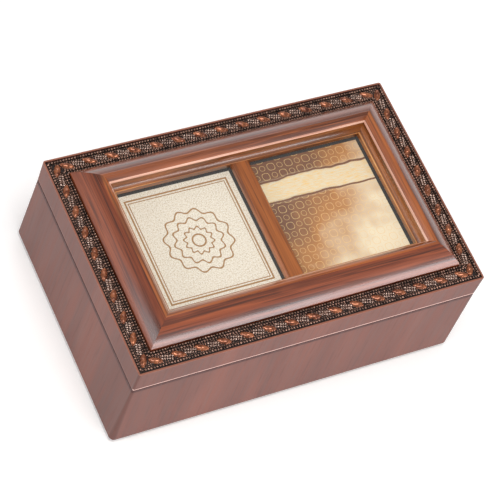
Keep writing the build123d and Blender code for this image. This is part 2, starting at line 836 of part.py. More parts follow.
def movement_plates(comb_block):
    """The bedplate, the two bearing brackets, the governor frame, the click and the screws."""
    plate = box_between((plate_left, plate_front, 0), (plate_right, plate_back, plate_thickness))
    uprights = plate.edges().filter_by(Axis.Z)
    plate = fillet(uprights, plate_corner)
    edge_x = plate_left + mount_screw_inset
    places = (
        (edge_x, plate_back - mount_screw_inset),
        (edge_x, plate_front + mount_screw_inset),
        (cylinder_right - mount_screw_inset, plate_back - mount_screw_back),
    )
    bosses = [post(x, y, plate_thickness, boss_radius, boss_rise) for x, y in places]
    screws = []
    for x, y in places:
        top = plate_thickness + boss_rise - boss_cap
        shank = post(x, y, -panel_thickness, mount_screw_radius, panel_thickness + top)
        head = post(x, y, -panel_thickness - mount_screw_rise, mount_screw_head, mount_screw_rise)
        slot_z = -panel_thickness - mount_screw_rise
        slot = Pos(x, y, slot_z) * Box(2 * mount_screw_head + cut_margin, slot_width, slot_depth * 2)
        screws.append(shank + head - slot)
    shaft_reach = plate_thickness + 2 * cut_margin
    shaft = post(barrel_x, 0, -cut_margin, arbor_radius + running_clearance, shaft_reach)
    pivot = post(worm_x, worm_y, worm_foot_z, worm_tip_radius + running_clearance, plate_thickness)
    plate = plate.fuse(*bosses, comb_block) - screws - shaft - pivot
    length = plate_right - plate_left
    journal = rod_x(plate_left, 0, cylinder_z, cylinder_arbor_radius + running_clearance, length)
    small = rod_x(
        plate_left, governor_y, governor_z, governor_arbor_radius + running_clearance, length
    )
    left = box_between(
        (left_bracket_x, -bracket_half, plate_thickness),
        (left_bracket_x + bracket_thickness, bracket_half, cylinder_z + bracket_head),
    )
    tall = box_between(
        (bracket_x, -bracket_half, plate_thickness),
        (bracket_x + bracket_thickness, bracket_half, cylinder_z + bracket_head),
    )
    low = box_between(
        (bracket_x, bracket_half, plate_thickness),
        (bracket_x + bracket_thickness, governor_y + bracket_head, governor_z + bracket_head),
    )
    brackets = [left - journal, tall + low - journal - small]
    back = frame_wall_y + frame_thickness
    wall = box_between(
        (gear_x, frame_wall_y, plate_thickness), (plate_right, back, ear_z + ear_thickness)
    )
    side = box_between(
        (frame_side_x, governor_y - bracket_head, plate_thickness),
        (frame_side_x + frame_thickness, frame_wall_y, governor_z + bracket_head),
    )
    ear = box_between(
        (worm_x - bracket_head, worm_y - bracket_head, ear_z),
        (worm_x + bracket_head, frame_wall_y, ear_z + ear_thickness),
    )
    guide = box_between(
        (worm_x - bracket_head, rod_y - 2 * rod_radius, guide_z),
        (worm_x + bracket_head, frame_wall_y, guide_z + ear_thickness),
    )
    rod_hole = post(worm_x, rod_y, 0, rod_radius + running_clearance, TALL)
    tip_reach = ear_thickness + 2 * cut_margin
    tip_bore = worm_tip_radius + running_clearance
    tip_hole = post(worm_x, worm_y, ear_z - cut_margin, tip_bore, tip_reach)
    frame = wall + side + ear + guide - rod_hole - tip_hole - small
    tooth_y = ratchet_radius + click_clearance
    click_plan = Polyline(
        (barrel_x - click_tip_back, tooth_y),
        (barrel_x + click_tip_ahead, tooth_y),
        (barrel_x + click_length, tooth_y + click_heel_low),
        (barrel_x + click_length, tooth_y + click_heel_high),
        (barrel_x + click_shoulder, tooth_y + click_heel_high),
        close=True,
    )
    click_height = ratchet_lift + ratchet_thickness - plate_thickness - click_drop
    click = Pos(0, 0, plate_thickness) * extrude(make_face(click_plan), click_height, dir=(0, 0, 1))
    return plate, brackets, frame, click, screws


def build():
    """Every piece of the box in its place, by name."""
    parts = {}
    walls = case_walls()
    panel = bottom_panel()
    divider, pad, sides, ledges, cover = compartment()
    bands = lid_bands()
    case_leaves, lid_leaves, pins, case_screws, lid_screws = hinges()
    walls = {side: wall - panel for side, wall in walls.items()}
    walls["back"] = walls["back"] - case_leaves - case_screws
    bands["back"] = bands["back"] - lid_leaves - lid_screws
    case_leaves = [leaf - case_screws for leaf in case_leaves]
    lid_leaves = [leaf - lid_screws for leaf in lid_leaves]
    mullion, panes, cards, backing, lid_panel, lid_lining = window_parts()
    strips = trims()
    section = moulding_section()
    for side in SIDE_TURN:
        parts[f"wall_{side}"] = walls[side]
        parts[f"lid_band_{side}"] = bands[side]
        parts[f"lid_trim_{side}"] = strips[side]
        parts[f"lid_moulding_{side}"] = rail(section, side)
    for name in panes:
        parts[f"window_pane_{name}"] = panes[name]
        parts[f"card_{name}"] = cards[name]
    parts["mullion"] = mullion
    parts["backing_board"] = backing
    parts["lid_panel"] = lid_panel
    parts["lid_lining"] = lid_lining
    parts["corner_blocks"] = corner_blocks()
    parts["feet"] = feet()
    parts["bay_pad"] = pad
    parts["bay_lining"] = sides
    parts["divider"] = divider
    parts["cover_ledges"] = ledges
    parts["hinge_case_leaves"] = case_leaves
    parts["hinge_lid_leaves"] = lid_leaves
    parts["hinge_pins"] = pins
    parts["hinge_case_screws"] = case_screws
    parts["hinge_lid_screws"] = lid_screws

    place = Pos(bay_x, 0, floor_z) * Rot(0, 0, 90)
    arbor, ratchet, key = winding_parts()
    drum, barrel_base, mainspring = barrel_parts()
    cylinder, cylinder_arbor, pinion, gear = cylinder_parts()
    comb, comb_screws, comb_block = comb_parts()
    governor_arbor, governor_pinion, worm_wheel, worm, fan = governor_parts()
    plate, brackets, frame, click, screws = movement_plates(comb_block)
    movement = {
        "winding_arbor": arbor,
        "ratchet_wheel": ratchet,
        "winding_key": key,
        "spring_barrel": drum,
        "barrel_floor": barrel_base,
        "mainspring": mainspring,
        "pin_cylinder": cylinder,
        "cylinder_arbor": cylinder_arbor,
        "cylinder_pinion": pinion,
        "cylinder_gear": gear,
        "comb": comb,
        "comb_screws": comb_screws,
        "governor_arbor": governor_arbor,
        "governor_pinion": governor_pinion,
        "worm_wheel": worm_wheel,
        "worm": worm,
        "fan": fan,
        "stop_rod": stop_rod(),
        "bedplate": plate,
        "bearing_brackets": brackets,
        "governor_frame": frame,
        "ratchet_click": click,
        "mount_screws": screws,
    }
    for name, shape in movement.items():
        pieces = shape if isinstance(shape, list) else [shape]
        parts[name] = [place * piece for piece in pieces]
    hole_radius = arbor_radius + panel_hole_gap
    hole_foot = -panel_thickness - cut_margin
    shaft_hole = place * post(barrel_x, 0, hole_foot, hole_radius, cut_margin - hole_foot)
    parts["bottom_panel"] = panel - parts["mount_screws"] - shaft_hole
    rod_hole = place * post(worm_x, rod_y, 0, rod_radius + cover_hole_gap, TALL)
    parts["movement_cover"] = cover - rod_hole
    return parts


def main():
    """Write each piece to its own STEP file."""
    os.makedirs("parts", exist_ok=True)
    parts = build()
    for name, shape in parts.items():
        pieces = shape if isinstance(shape, list) else [shape]
        solids = [solid for piece in pieces for solid in piece.solids()]
        moved = [Pos(0, shift_y, 0) * solid for solid in solids]
        whole = moved[0] if len(moved) == 1 else Compound(children=moved)
        export_step(whole, f"parts/{name}.step")
    axes = {
        "lid_hinge": (0, hinge_y + shift_y, seam_z),
        "winding": (bay_x, barrel_x + shift_y, floor_z),
        "cylinder": (bay_x, shift_y, floor_z + cylinder_z),
        "governor": (bay_x - governor_y, shift_y, floor_z + governor_z),
        "air_brake": (bay_x - worm_y, worm_x + shift_y, floor_z),
        "stop_rod": (bay_x - rod_y, worm_x + shift_y, floor_z),
    }
    for name, point in axes.items():
        print(name, [round(value, 3) for value in point])
    step_up = gear_teeth / governor_pinion_teeth
    print("turns per turn of the cylinder: barrel", pinion_teeth / crown_teeth)
    print("governor", -step_up, "worm", worm_wheel_teeth * step_up)


if __name__ == "__main__":
    main()
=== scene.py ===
"""The looks of a wooden keepsake box with a framed lid and a wind-up musical movement.

Every piece is in metres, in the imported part's own frame: +X along the box, the front at -Y, +Z up.
"""

import json
import logging
import math
import random
from dataclasses import dataclass
from enum import Enum
from typing import Callable, Sequence

import bmesh
import bpy
from mathutils import Matrix, Vector


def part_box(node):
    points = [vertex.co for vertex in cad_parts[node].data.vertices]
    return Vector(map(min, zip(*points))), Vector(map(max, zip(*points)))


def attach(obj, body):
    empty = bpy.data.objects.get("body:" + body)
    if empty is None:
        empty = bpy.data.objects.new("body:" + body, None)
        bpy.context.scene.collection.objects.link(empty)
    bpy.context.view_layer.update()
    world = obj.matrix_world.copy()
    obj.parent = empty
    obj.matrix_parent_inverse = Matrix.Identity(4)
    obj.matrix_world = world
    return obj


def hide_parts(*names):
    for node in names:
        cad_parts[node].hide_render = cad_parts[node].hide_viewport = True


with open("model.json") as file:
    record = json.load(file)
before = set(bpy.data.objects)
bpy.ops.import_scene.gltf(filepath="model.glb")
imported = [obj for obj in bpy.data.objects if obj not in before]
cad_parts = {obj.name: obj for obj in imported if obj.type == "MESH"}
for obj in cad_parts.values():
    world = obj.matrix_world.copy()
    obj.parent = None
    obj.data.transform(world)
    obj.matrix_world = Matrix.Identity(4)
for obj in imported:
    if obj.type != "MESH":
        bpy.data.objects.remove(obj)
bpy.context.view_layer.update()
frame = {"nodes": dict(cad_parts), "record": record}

log = logging.getLogger("keepsake_box")

MM = 0.001
Triple = tuple[float, float, float]
Colour = Triple
Point = tuple[float, float]
Stops = Sequence[tuple[float, Colour]]


def srgb(red: float, green: float, blue: float) -> Colour:
    """Linear colour of a display colour.

    Args:
        red: Red, from 0 to 255.
        green: Green, from 0 to 255.
        blue: Blue, from 0 to 255.

    Returns:
        The colour as linear values from 0 to 1.
    """
    def linear(value: float) -> float:
        """One channel, made linear."""
        share = value / 255
        return share / 12.92 if share <= 0.04045 else ((share + 0.055) / 1.055) ** 2.4

    return (linear(red), linear(green), linear(blue))


class Field:
    """A number that varies over a surface; arithmetic on it adds nodes to its sketch."""

    def __init__(self, sketch: "NodeSketch", socket: bpy.types.NodeSocket) -> None:
        """Wrap an output socket.

        Args:
            sketch: The sketch that the socket belongs to.
            socket: The output socket.
        """
        self.sketch = sketch
        self.socket = socket

    def step(self, operation: str, *values: "Field | float") -> "Field":
        """One arithmetic node.

        Args:
            operation: The node's operation.
            *values: The node's inputs, in order.

        Returns:
            The result.
        """
        node = self.sketch.add("ShaderNodeMath", operation=operation)
        for socket, value in zip(node.inputs, values):
            self.sketch.feed(socket, value)
        return Field(self.sketch, node.outputs["Value"])

    def __add__(self, other: "Field | float") -> "Field":
        """The sum."""
        return self.step("ADD", self, other)

    def __sub__(self, other: "Field | float") -> "Field":
        """The difference."""
        return self.step("SUBTRACT", self, other)

    def __rsub__(self, other: float) -> "Field":
        """The difference from a plain number."""
        return self.step("SUBTRACT", other, self)

    def __mul__(self, other: "Field | float") -> "Field":
        """The product."""
        return self.step("MULTIPLY", self, other)

    def __abs__(self) -> "Field":
        """The size without its sign."""
        return self.step("ABSOLUTE", self)

    def most(self, other: "Field | float") -> "Field":
        """The greater of two."""
        return self.step("MAXIMUM", self, other)

    def least(self, other: "Field | float") -> "Field":
        """The lesser of two."""
        return self.step("MINIMUM", self, other)

    def root(self) -> "Field":
        """The square root."""
        return self.step("SQRT", self)

    def cosine(self) -> "Field":
        """The cosine of an angle in radians."""
        return self.step("COSINE", self)

    def angle(self, along: "Field") -> "Field":
        """The angle, in radians, of the point with this y and the given x."""
        return self.step("ARCTAN2", self, along)

    def mixed(self, other: "Field", share: float) -> "Field":
        """The sum of this one by its share and the other by the rest."""
        return self * share + other * (1 - share)

    def span(self, low: float, high: float, out_low: float = 0, out_high: float = 1) -> "Field":
        """The value mapped smoothly from one span to another, and held at its ends.

        Args:
            low: Where the first span starts.
            high: Where the first span ends.
            out_low: The result at the start.
            out_high: The result at the end.

        Returns:
            The mapped value.
        """
        node = self.sketch.add("ShaderNodeMapRange", interpolation_type="SMOOTHSTEP")
        ends = {"Value": self, "From Min": low, "From Max": high, "To Min": out_low, "To Max": out_high}
        for key, value in ends.items():
            self.sketch.feed(node.inputs[key], value)
        return Field(self.sketch, node.outputs["Result"])

    def line(self, middle: float, half: float) -> "Field":
        """A soft-edged line, 1 where the value lies within half a width of its middle."""
        return abs(self - middle).span(0.7 * half, 1.3 * half, 1, 0)


class NodeSketch:
    """One material's node tree, built up step by step."""

    def __init__(self, name: str) -> None:
        """Start an empty material.

        Args:
            name: The material's name.
        """
        self.material = bpy.data.materials.new(name)
        self.material.use_nodes = True
        self.tree = self.material.node_tree
        self.tree.nodes.clear()
        self.place = self.tree.nodes.new("ShaderNodeTexCoord").outputs["Object"]

    def add(self, kind: str, **settings: object) -> bpy.types.Node:
        """A new node with its settings.

        Args:
            kind: The node's type name.
            **settings: Properties to set on the node.

        Returns:
            The node.
        """
        node = self.tree.nodes.new(kind)
        for key, value in settings.items():
            setattr(node, key, value)
        return node

    def feed(self, socket: bpy.types.NodeSocket, value: object) -> None:
        """Link a socket, or set it where the value is a plain number or colour.

        Args:
            socket: The input socket.
            value: A field, another socket, a number or a colour.
        """
        source = value.socket if isinstance(value, Field) else value
        if isinstance(source, bpy.types.NodeSocket):
            self.tree.links.new(source, socket)
        elif isinstance(source, tuple) and len(source) == 3 and socket.type == "RGBA":
            socket.default_value = (*source, 1.0)
        else:
            socket.default_value = source

    def stretched(self, scale: Triple | float, move: Triple = (0, 0, 0)) -> bpy.types.NodeSocket:
        """Object coordinates, scaled for a pattern.

        Args:
            scale: The pattern's counts per metre along x, y and z, or all alike.
            move: The pattern's shift, in its own counts.

        Returns:
            The vector socket.
        """
        node = self.add("ShaderNodeMapping")
        self.feed(node.inputs["Vector"], self.place)
        node.inputs["Scale"].default_value = scale if isinstance(scale, tuple) else (scale,) * 3
        node.inputs["Location"].default_value = move
        return node.outputs["Vector"]

    def noise(
        self,
        scale: Triple | float,
        detail: float = 4,
        rough: float = 0.55,
        warp: float = 0,
        move: Triple = (0, 0, 0),
    ) -> Field:
        """A cloudy value over Object coordinates.

        Args:
            scale: The pattern's counts per metre.
            detail: How many finer layers it has.
            rough: How strong the finer layers are.
            warp: How far it is distorted.
            move: The pattern's shift, in its own counts.

        Returns:
            The value, from 0 to 1.
        """
        node = self.add("ShaderNodeTexNoise")
        self.feed(node.inputs["Vector"], self.stretched(scale, move))
        settings = {"Scale": 1.0, "Detail": detail, "Roughness": rough, "Distortion": warp}
        for key, value in settings.items():
            node.inputs[key].default_value = value
        return Field(self, node.outputs["Fac"])

    def cells(self, scale: Triple | float, move: Triple = (0, 0, 0)) -> Field:
        """The distance to the nearest of many scattered points.

        Args:
            scale: The points' counts per metre.
            move: The pattern's shift, in its own counts.

        Returns:
            The distance, in counts.
        """
        node = self.add("ShaderNodeTexVoronoi", feature="F1")
        self.feed(node.inputs["Vector"], self.stretched(scale, move))
        node.inputs["Scale"].default_value = 1.0
        return Field(self, node.outputs["Distance"])

    def ramp(self, value: Field, stops: Stops) -> bpy.types.NodeSocket:
        """A colour from a value.

        Args:
            value: The value, from 0 to 1.
            stops: Positions and linear colours, in order.

        Returns:
            The colour socket.
        """
        node = self.add("ShaderNodeValToRGB")
        self.feed(node.inputs["Fac"], value)
        ramp = node.color_ramp
        while len(ramp.elements) < len(stops):
            ramp.elements.new(0.5)
        for element, (position, colour) in zip(ramp.elements, stops):
            element.position = position
            element.color = (*colour, 1.0)
        return node.outputs["Color"]

    def blend(self, share: Field, first: object, second: object) -> bpy.types.NodeSocket:
        """Two colours mixed.

        Args:
            share: How much of the second colour shows.
            first: The first colour, or its socket.
            second: The second colour, or its socket.

        Returns:
            The colour socket.
        """
        node = self.add("ShaderNodeMix", data_type="RGBA", blend_type="MIX")
        share_in, first_in, second_in, colour_out = 0, 6, 7, 2
        for index, value in ((share_in, share), (first_in, first), (second_in, second)):
            self.feed(node.inputs[index], value)
        return node.outputs[colour_out]

    def axes(self) -> tuple[Field, Field, Field]:
        """The x, y and z of Object coordinates, in metres.

        Returns:
            The three fields.
        """
        node = self.add("ShaderNodeSeparateXYZ")
        self.feed(node.inputs["Vector"], self.place)
        return tuple(Field(self, node.outputs[axis]) for axis in "XYZ")

    def bump(self, height: Field, depth: float, strength: float = 1.0) -> bpy.types.NodeSocket:
        """A normal from a height.

        Args:
            height: The height, from 0 to 1.
            depth: What a height of 1 stands for, in metres.
            strength: How much of the bump shows.

        Returns:
            The normal socket.
        """
        node = self.add("ShaderNodeBump")
        for key, value in {"Strength": strength, "Distance": depth, "Height": height}.items():
            self.feed(node.inputs[key], value)
        return node.outputs["Normal"]

    def finish(self, **inputs: object) -> bpy.types.Material:
        """Close the tree with a Principled surface.

        Args:
            **inputs: Socket names, with underscores for blanks, and their values.

        Returns:
            The finished material.
        """
        shader = self.add("ShaderNodeBsdfPrincipled")
        for key, value in inputs.items():
            self.feed(shader.inputs[key.replace("_", " ")], value)
        output = self.add("ShaderNodeOutputMaterial")
        self.tree.links.new(shader.outputs["BSDF"], output.inputs["Surface"])
        return self.material


class Grain(Enum):
    """The way that a board's grain runs."""

    ALONG_X = "x"
    ALONG_Y = "y"
    UPRIGHT = "z"

    def scale(self, across: float, along: float) -> Triple:
        """A pattern's scale that follows the grain.

        Args:
            across: Counts per metre across the grain.
            along: Counts per metre along it.

        Returns:
            The counts per metre along x, y and z.
        """
        if self is Grain.ALONG_X:
            return (along, across, across)
        if self is Grain.ALONG_Y:
            return (across, along, across)
        return (across, across, along)


@dataclass(frozen=True)
class BoxPlan:
    """The box's main planes, in metres, read from the frame."""

    half_x: float
    half_y: float
    centre_y: float
    seam_z: float
    top_z: float

    @classmethod
    def read(cls) -> "BoxPlan":
        """Read the loaded part.

        Returns:
            The plan.
        """
        low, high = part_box("lid_band_left")
        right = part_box("lid_band_right")[1]
        return cls(
            half_x=right.x,
            half_y=(high.y - low.y) / 2,
            centre_y=(high.y + low.y) / 2,
            seam_z=low.z,
            top_z=high.z,
        )


@dataclass(frozen=True)
class SideWood:
    """Satin mauve-brown wood with faint upright grain, for the base walls and the lid's sides, with
    painted shade at the upright corners and towards the seam, and painted highlight lines on the lid
    band's edges.
    """

    plan: BoxPlan
    name: str = "side_wood"
    pale: Colour = srgb(124, 75, 64)
    deep: Colour = srgb(96, 53, 44)
    stroke: Colour = srgb(84, 44, 36)
    ruddy: Colour = srgb(142, 78, 58)
    seam: Colour = srgb(70, 24, 18)
    ease_light: Colour = srgb(246, 206, 194)
    rim_light: Colour = srgb(184, 122, 98)
    fine_grain: Point = (620.0, 20.0)
    broad_grain: Point = (60.0, 7.0)
    stroke_grain: Point = (900.0, 34.0)
    fine_share: float = 0.62
    corner_ease: float = 0.2 * MM
    corner_reach: float = 1.6 * MM
    seam_reach: float = 2.3 * MM
    edge_reach: float = 1.0 * MM
    light_low: float = 0.20 * MM
    light_high: float = 0.75 * MM
    rim_high: float = 0.30 * MM

    def build(self) -> bpy.types.Material:
        """Make the material.

        Returns:
            The material.
        """
        sketch = NodeSketch(self.name)
        fine = sketch.noise(Grain.UPRIGHT.scale(*self.fine_grain), 5, 0.62, 0.3)
        broad = sketch.noise(Grain.UPRIGHT.scale(*self.broad_grain), 2, 0.5)
        strokes = sketch.noise(Grain.UPRIGHT.scale(*self.stroke_grain), 2, 0.5, move=(3, 5, 7))
        wood = sketch.ramp(fine.mixed(broad, self.fine_share), ((0.34, self.deep), (0.66, self.pale)))
        wood = sketch.blend(strokes.span(0.54, 0.7, 0, 0.38), wood, self.stroke)
        wood = sketch.blend(broad.span(0.5, 0.66, 0, 0.18), wood, self.ruddy)
        x, y, z = sketch.axes()
        off_x = self.plan.half_x - abs(x)
        off_y = self.plan.half_y - abs(y - self.plan.centre_y)
        # Painted shade: the wood darkens towards the box's upright corners, in the grain strokes' dark
        # colour.
        corner = off_x.most(off_y).span(self.corner_ease, self.corner_reach, 0.42, 0)
        wood = sketch.blend(corner, wood, self.stroke)
        # Painted highlight: a warm pale line along the lid band's top edge.
        rim = z.span(self.plan.top_z - self.rim_high, self.plan.top_z - 0.5 * self.rim_high, 0, 0.45)
        wood = sketch.blend(rim, wood, self.rim_light)
        # Painted shade: the case wall darkens in a soft band down from the seam gap under the lid, on the
        # outer faces only.
        above = z - self.plan.seam_z
        shade_under_seam = above.span(-self.seam_reach, -0.6 * self.seam_reach)
        under_light = above.span(0.5 * self.light_low, self.light_low, 1, 0)
        outer = off_x.least(off_y).span(self.edge_reach, 1.6 * self.edge_reach, 1, 0.2)
        wood = sketch.blend(shade_under_seam * under_light * outer, wood, self.seam)
        # Painted highlight: a pale line on the lid band's eased lower edge just above the seam, mostly on
        # the front face.
        highlight_over_seam = above.span(0.5 * self.light_low, self.light_low)
        under_top = above.span(self.light_high, 1.25 * self.light_high, 0.8, 0)
        front_y = self.plan.centre_y - self.plan.half_y
        facing = y.span(front_y + 0.1 * MM, front_y + 0.5 * MM, 1, 0.12)
        wood = sketch.blend(highlight_over_seam * under_top * facing, wood, self.ease_light)
        return sketch.finish(
            Base_Color=wood,
            Roughness=fine.span(0.3, 0.7, 0.36, 0.5),
            Normal=sketch.bump(fine, 0.05 * MM, 0.5),
            Specular_IOR_Level=0.32,
            Coat_Weight=0.05,
            Coat_Roughness=0.3,
        )


class WoodTone(Enum):
    """The moulding's wood tones by region, as pale, middle and dark display colours: the swell, brow and
    cove differ partly by stain and partly as painted light and shade on those faces, and the ridge and
    sill tones are painted highlight lines.
    """

    SWELL = ((160, 80, 40), (116, 52, 25), (50, 19, 10))
    BROW = ((192, 110, 50), (152, 78, 32), (72, 31, 13))
    COVE = ((178, 108, 48), (140, 79, 33), (78, 40, 17))
    BAR = ((188, 108, 44), (154, 84, 34), (86, 42, 18))
    # Painted highlight line along the moulding's ridge.
    EDGE = ((252, 218, 202), (232, 182, 158), (176, 114, 90))
    # Painted highlight line at the window's edge.
    SILL = ((240, 186, 124), (206, 136, 76), (130, 74, 38))


@dataclass(frozen=True)
class MouldingWood:
    """Lacquered red-brown wood with long grain, dark streaks and small knots."""

    name: str
    tone: WoodTone
    grain: Grain
    fine_grain: Point = (330.0, 13.0)
    band_grain: Point = (95.0, 6.0)
    streak_grain: Point = (420.0, 11.0)
    thread_grain: Point = (1500.0, 22.0)
    knot_spread: Point = (70.0, 24.0)

    def build(self) -> bpy.types.Material:
        """Make the material.

        Returns:
            The material.
        """
        pale, middle, dark = (srgb(*colour) for colour in self.tone.value)
        sketch = NodeSketch(self.name)
        fine = sketch.noise(self.grain.scale(*self.fine_grain), 6, 0.6, 0.6)
        bands = sketch.noise(self.grain.scale(*self.band_grain), 3, 0.5, 1.2, move=(1, 2, 3))
        streaks = sketch.noise(self.grain.scale(*self.streak_grain), 3, 0.6, 0.8, move=(7, 4, 9))
        threads = sketch.noise(self.grain.scale(*self.thread_grain), 2, 0.5, 0.4, move=(3, 8, 5))
        knots = sketch.cells(self.grain.scale(*self.knot_spread), move=(2, 6, 4))
        wood = sketch.ramp(fine.mixed(bands, 0.5), ((0.34, dark), (0.48, middle), (0.66, pale)))
        wood = sketch.blend(streaks.span(0.54, 0.63, 0, 0.6), wood, dark)
        wood = sketch.blend(threads.span(0.56, 0.68, 0, 0.6), wood, dark)
        wood = sketch.blend(threads.span(0.44, 0.32, 0, 0.35), wood, pale)
        wood = sketch.blend(knots.span(0.05, 0.16, 0.7, 0), wood, dark)
        return sketch.finish(
            Base_Color=wood,
            Roughness=fine.span(0.3, 0.7, 0.26, 0.38),
            Normal=sketch.bump(fine, 0.05 * MM, 0.4),
            Coat_Weight=0.7,
            Coat_Roughness=0.16,
        )


@dataclass(frozen=True)
class Antiqued:
    """Metal-look paint, mottled at random between a dark and a bright tone."""

    name: str
    low: Colour
    high: Colour
    metal: float = 0.55
    rough: float = 0.34
    mottle: float = 2600.0
    coat: float = 0.35

    def build(self) -> bpy.types.Material:
        """Make the material.

        Returns:
            The material.
        """
        sketch = NodeSketch(self.name)
        patches = sketch.noise(self.mottle, 3, 0.6)
        flecks = sketch.noise(0.35 * self.mottle, 2, 0.5, move=(5, 1, 3))
        tone = patches.mixed(flecks, 0.5)
        return sketch.finish(
            Base_Color=sketch.ramp(tone, ((0.38, self.low), (0.62, self.high))),
            Roughness=patches.span(0.3, 0.7, self.rough - 0.08, self.rough + 0.12),
            Normal=sketch.bump(patches, 0.04 * MM, 0.5),
            Metallic=self.metal,
            Coat_Weight=self.coat,
            Coat_Roughness=0.2,
        )


@dataclass(frozen=True)
class TurnedMetal:
    """Bright or cast metal with fine tool marks and smudges."""

    name: str
    tint: Colour
    shade: Colour
    rough: float
    metal: float = 1.0
    marks: Triple = (900.0, 900.0, 3600.0)
    mark_depth: float = 0.012 * MM

    def build(self) -> bpy.types.Material:
        """Make the material.

        Returns:
            The material.
        """
        sketch = NodeSketch(self.name)
        lines = sketch.noise(self.marks, 4, 0.6)
        smudges = sketch.noise(140, 3, 0.5)
        return sketch.finish(
            Base_Color=sketch.ramp(smudges, ((0.35, self.shade), (0.62, self.tint))),
            Roughness=smudges.span(0.3, 0.7, self.rough, self.rough + 0.16),
            Normal=sketch.bump(lines, self.mark_depth, 0.6),
            Metallic=self.metal,
        )


@dataclass(frozen=True)
class Velvet:
    """Short-pile velvet with crushed patches."""

    name: str = "velvet"
    nap: Colour = srgb(120, 26, 36)
    hollow: Colour = srgb(58, 8, 14)

    def build(self) -> bpy.types.Material:
        """Make the material.

        Returns:
            The material.
        """
        sketch = NodeSketch(self.name)
        pile = sketch.noise(2600, 2, 0.7)
        crush = sketch.noise((70, 45, 60), 4, 0.6, 1.5)
        tone = pile.mixed(crush, 0.45)
        return sketch.finish(
            Base_Color=sketch.ramp(tone, ((0.34, self.hollow), (0.64, self.nap))),
            Roughness=0.92,
            Normal=sketch.bump(pile, 0.25 * MM, 0.7),
            Sheen_Weight=0.7,
            Sheen_Roughness=0.4,
            Sheen_Tint=(0.9, 0.45, 0.5, 1.0),
        )


@dataclass(frozen=True)
class PlainBoard:
    """Stained board or chipboard with flakes and short fibres."""

    name: str
    pale: Colour
    deep: Colour
    grain: Grain = Grain.ALONG_X
    across: float = 500.0
    along: float = 30.0
    rough: float = 0.62

    def build(self) -> bpy.types.Material:
        """Make the material.

        Returns:
            The material.
        """
        sketch = NodeSketch(self.name)
        fibres = sketch.noise(self.grain.scale(self.across, self.along), 5, 0.6, 0.4)
        clouds = sketch.noise(40, 3, 0.5)
        tone = fibres.mixed(clouds, 0.65)
        return sketch.finish(
            Base_Color=sketch.ramp(tone, ((0.36, self.deep), (0.62, self.pale))),
            Roughness=self.rough,
            Normal=sketch.bump(fibres, 0.06 * MM, 0.6),
        )


@dataclass(frozen=True)
class ClearSheet:
    """A clear pane, thin glass or acrylic, with a soft gloss."""

    name: str
    tint: Colour
    cover: float

    def build(self) -> bpy.types.Material:
        """Make the material.

        Returns:
            The material.
        """
        sketch = NodeSketch(self.name)
        smears = sketch.noise((60, 90, 60), 3, 0.5)
        return sketch.finish(
            Base_Color=self.tint,
            Roughness=smears.span(0.3, 0.7, 0.03, 0.07),
            Alpha=self.cover,
            IOR=1.5,
        )


@dataclass(frozen=True)
class MouldedPlastic:
    """Matt moulded rubber or plastic."""

    name: str
    tint: Colour
    rough: float

    def build(self) -> bpy.types.Material:
        """Make the material.

        Returns:
            The material.
        """
        sketch = NodeSketch(self.name)
        skin = sketch.noise(1800, 3, 0.6)
        wear = sketch.noise(160, 2, 0.5)
        pale = tuple(channel * 1.6 + 0.01 for channel in self.tint)
        return sketch.finish(
            Base_Color=sketch.ramp(wear, ((0.4, self.tint), (0.7, pale))),
            Roughness=self.rough,
            Normal=sketch.bump(skin, 0.03 * MM, 0.6),
        )


@dataclass(frozen=True)
class CardPlan:
    """One card as it shows through its window, in metres."""

    centre_x: float
    centre_y: float
    half_x: float
    half_y: float
    edge_line: float = 0.7 * MM

    def axes(self, sketch: NodeSketch) -> tuple[Field, Field, Field]:
        """The card's own axes, and how far a point lies inside the window's edge.

        Args:
            sketch: The material in the making.

        Returns:
            The x and y from the card's centre, and the distance inside the edge, in metres.
        """
        x, y, _ = sketch.axes()
        over_x = x - self.centre_x
        over_y = y - self.centre_y
        return over_x, over_y, (self.half_x - abs(over_x)).least(self.half_y - abs(over_y))

    def edge(self, inside: Field) -> Field:
        """The share of the painted shadow line at the window's edge."""
        return inside.span(0.8 * self.edge_line, self.edge_line, 1, 0)


@dataclass(frozen=True)
class CreamCard:
    """Cream glitter paper with a plain double gold line and a small rosette of rings."""

    plan: CardPlan
    name: str = "cream_card"
    paper: Colour = srgb(246, 237, 218)
    speck: Colour = srgb(212, 198, 172)
    spark: Colour = srgb(255, 253, 246)
    gold: Colour = srgb(168, 122, 58)
    ink: Colour = srgb(24, 18, 16)
    outer_line: float = 3.4 * MM
    inner_line: float = 4.6 * MM
    rosette_radius: float = 14.0 * MM
    rings: tuple[Point, ...] = ((1.0, 0.9), (0.72, -0.8), (0.42, 0.6), (0.2, 0.0))
    petals: int = 12
    broad_pen: float = 0.36 * MM
    fine_pen: float = 0.2 * MM

    def build(self) -> bpy.types.Material:
        """Make the material.

        Returns:
            The material.
        """
        sketch = NodeSketch(self.name)
        over_x, over_y, inside = self.plan.axes(sketch)
        glitter = sketch.noise(1900, 3, 0.75)
        paper = sketch.ramp(glitter, ((0.40, self.speck), (0.5, self.paper), (0.64, self.spark)))
        radius = (over_x * over_x + over_y * over_y).root()
        angle = over_y.angle(over_x)
        wave = (angle * float(self.petals)).cosine()
        border = inside.line(self.inner_line, self.fine_pen)
        lines = inside.line(self.outer_line, self.broad_pen).most(border)
        for share, swing in self.rings:
            ring = radius + wave * (swing * MM)
            lines = lines.most(ring.line(share * self.rosette_radius, self.broad_pen))
        card = sketch.blend(lines, paper, self.gold)
        return sketch.finish(
            # Painted shadow: a dark line round the card where the window's edge shades it.
            Base_Color=sketch.blend(self.plan.edge(inside), card, self.ink),
            Roughness=glitter.span(0.35, 0.65, 0.55, 0.25),
            Normal=sketch.bump(glitter, 0.06 * MM, 0.5),
        )


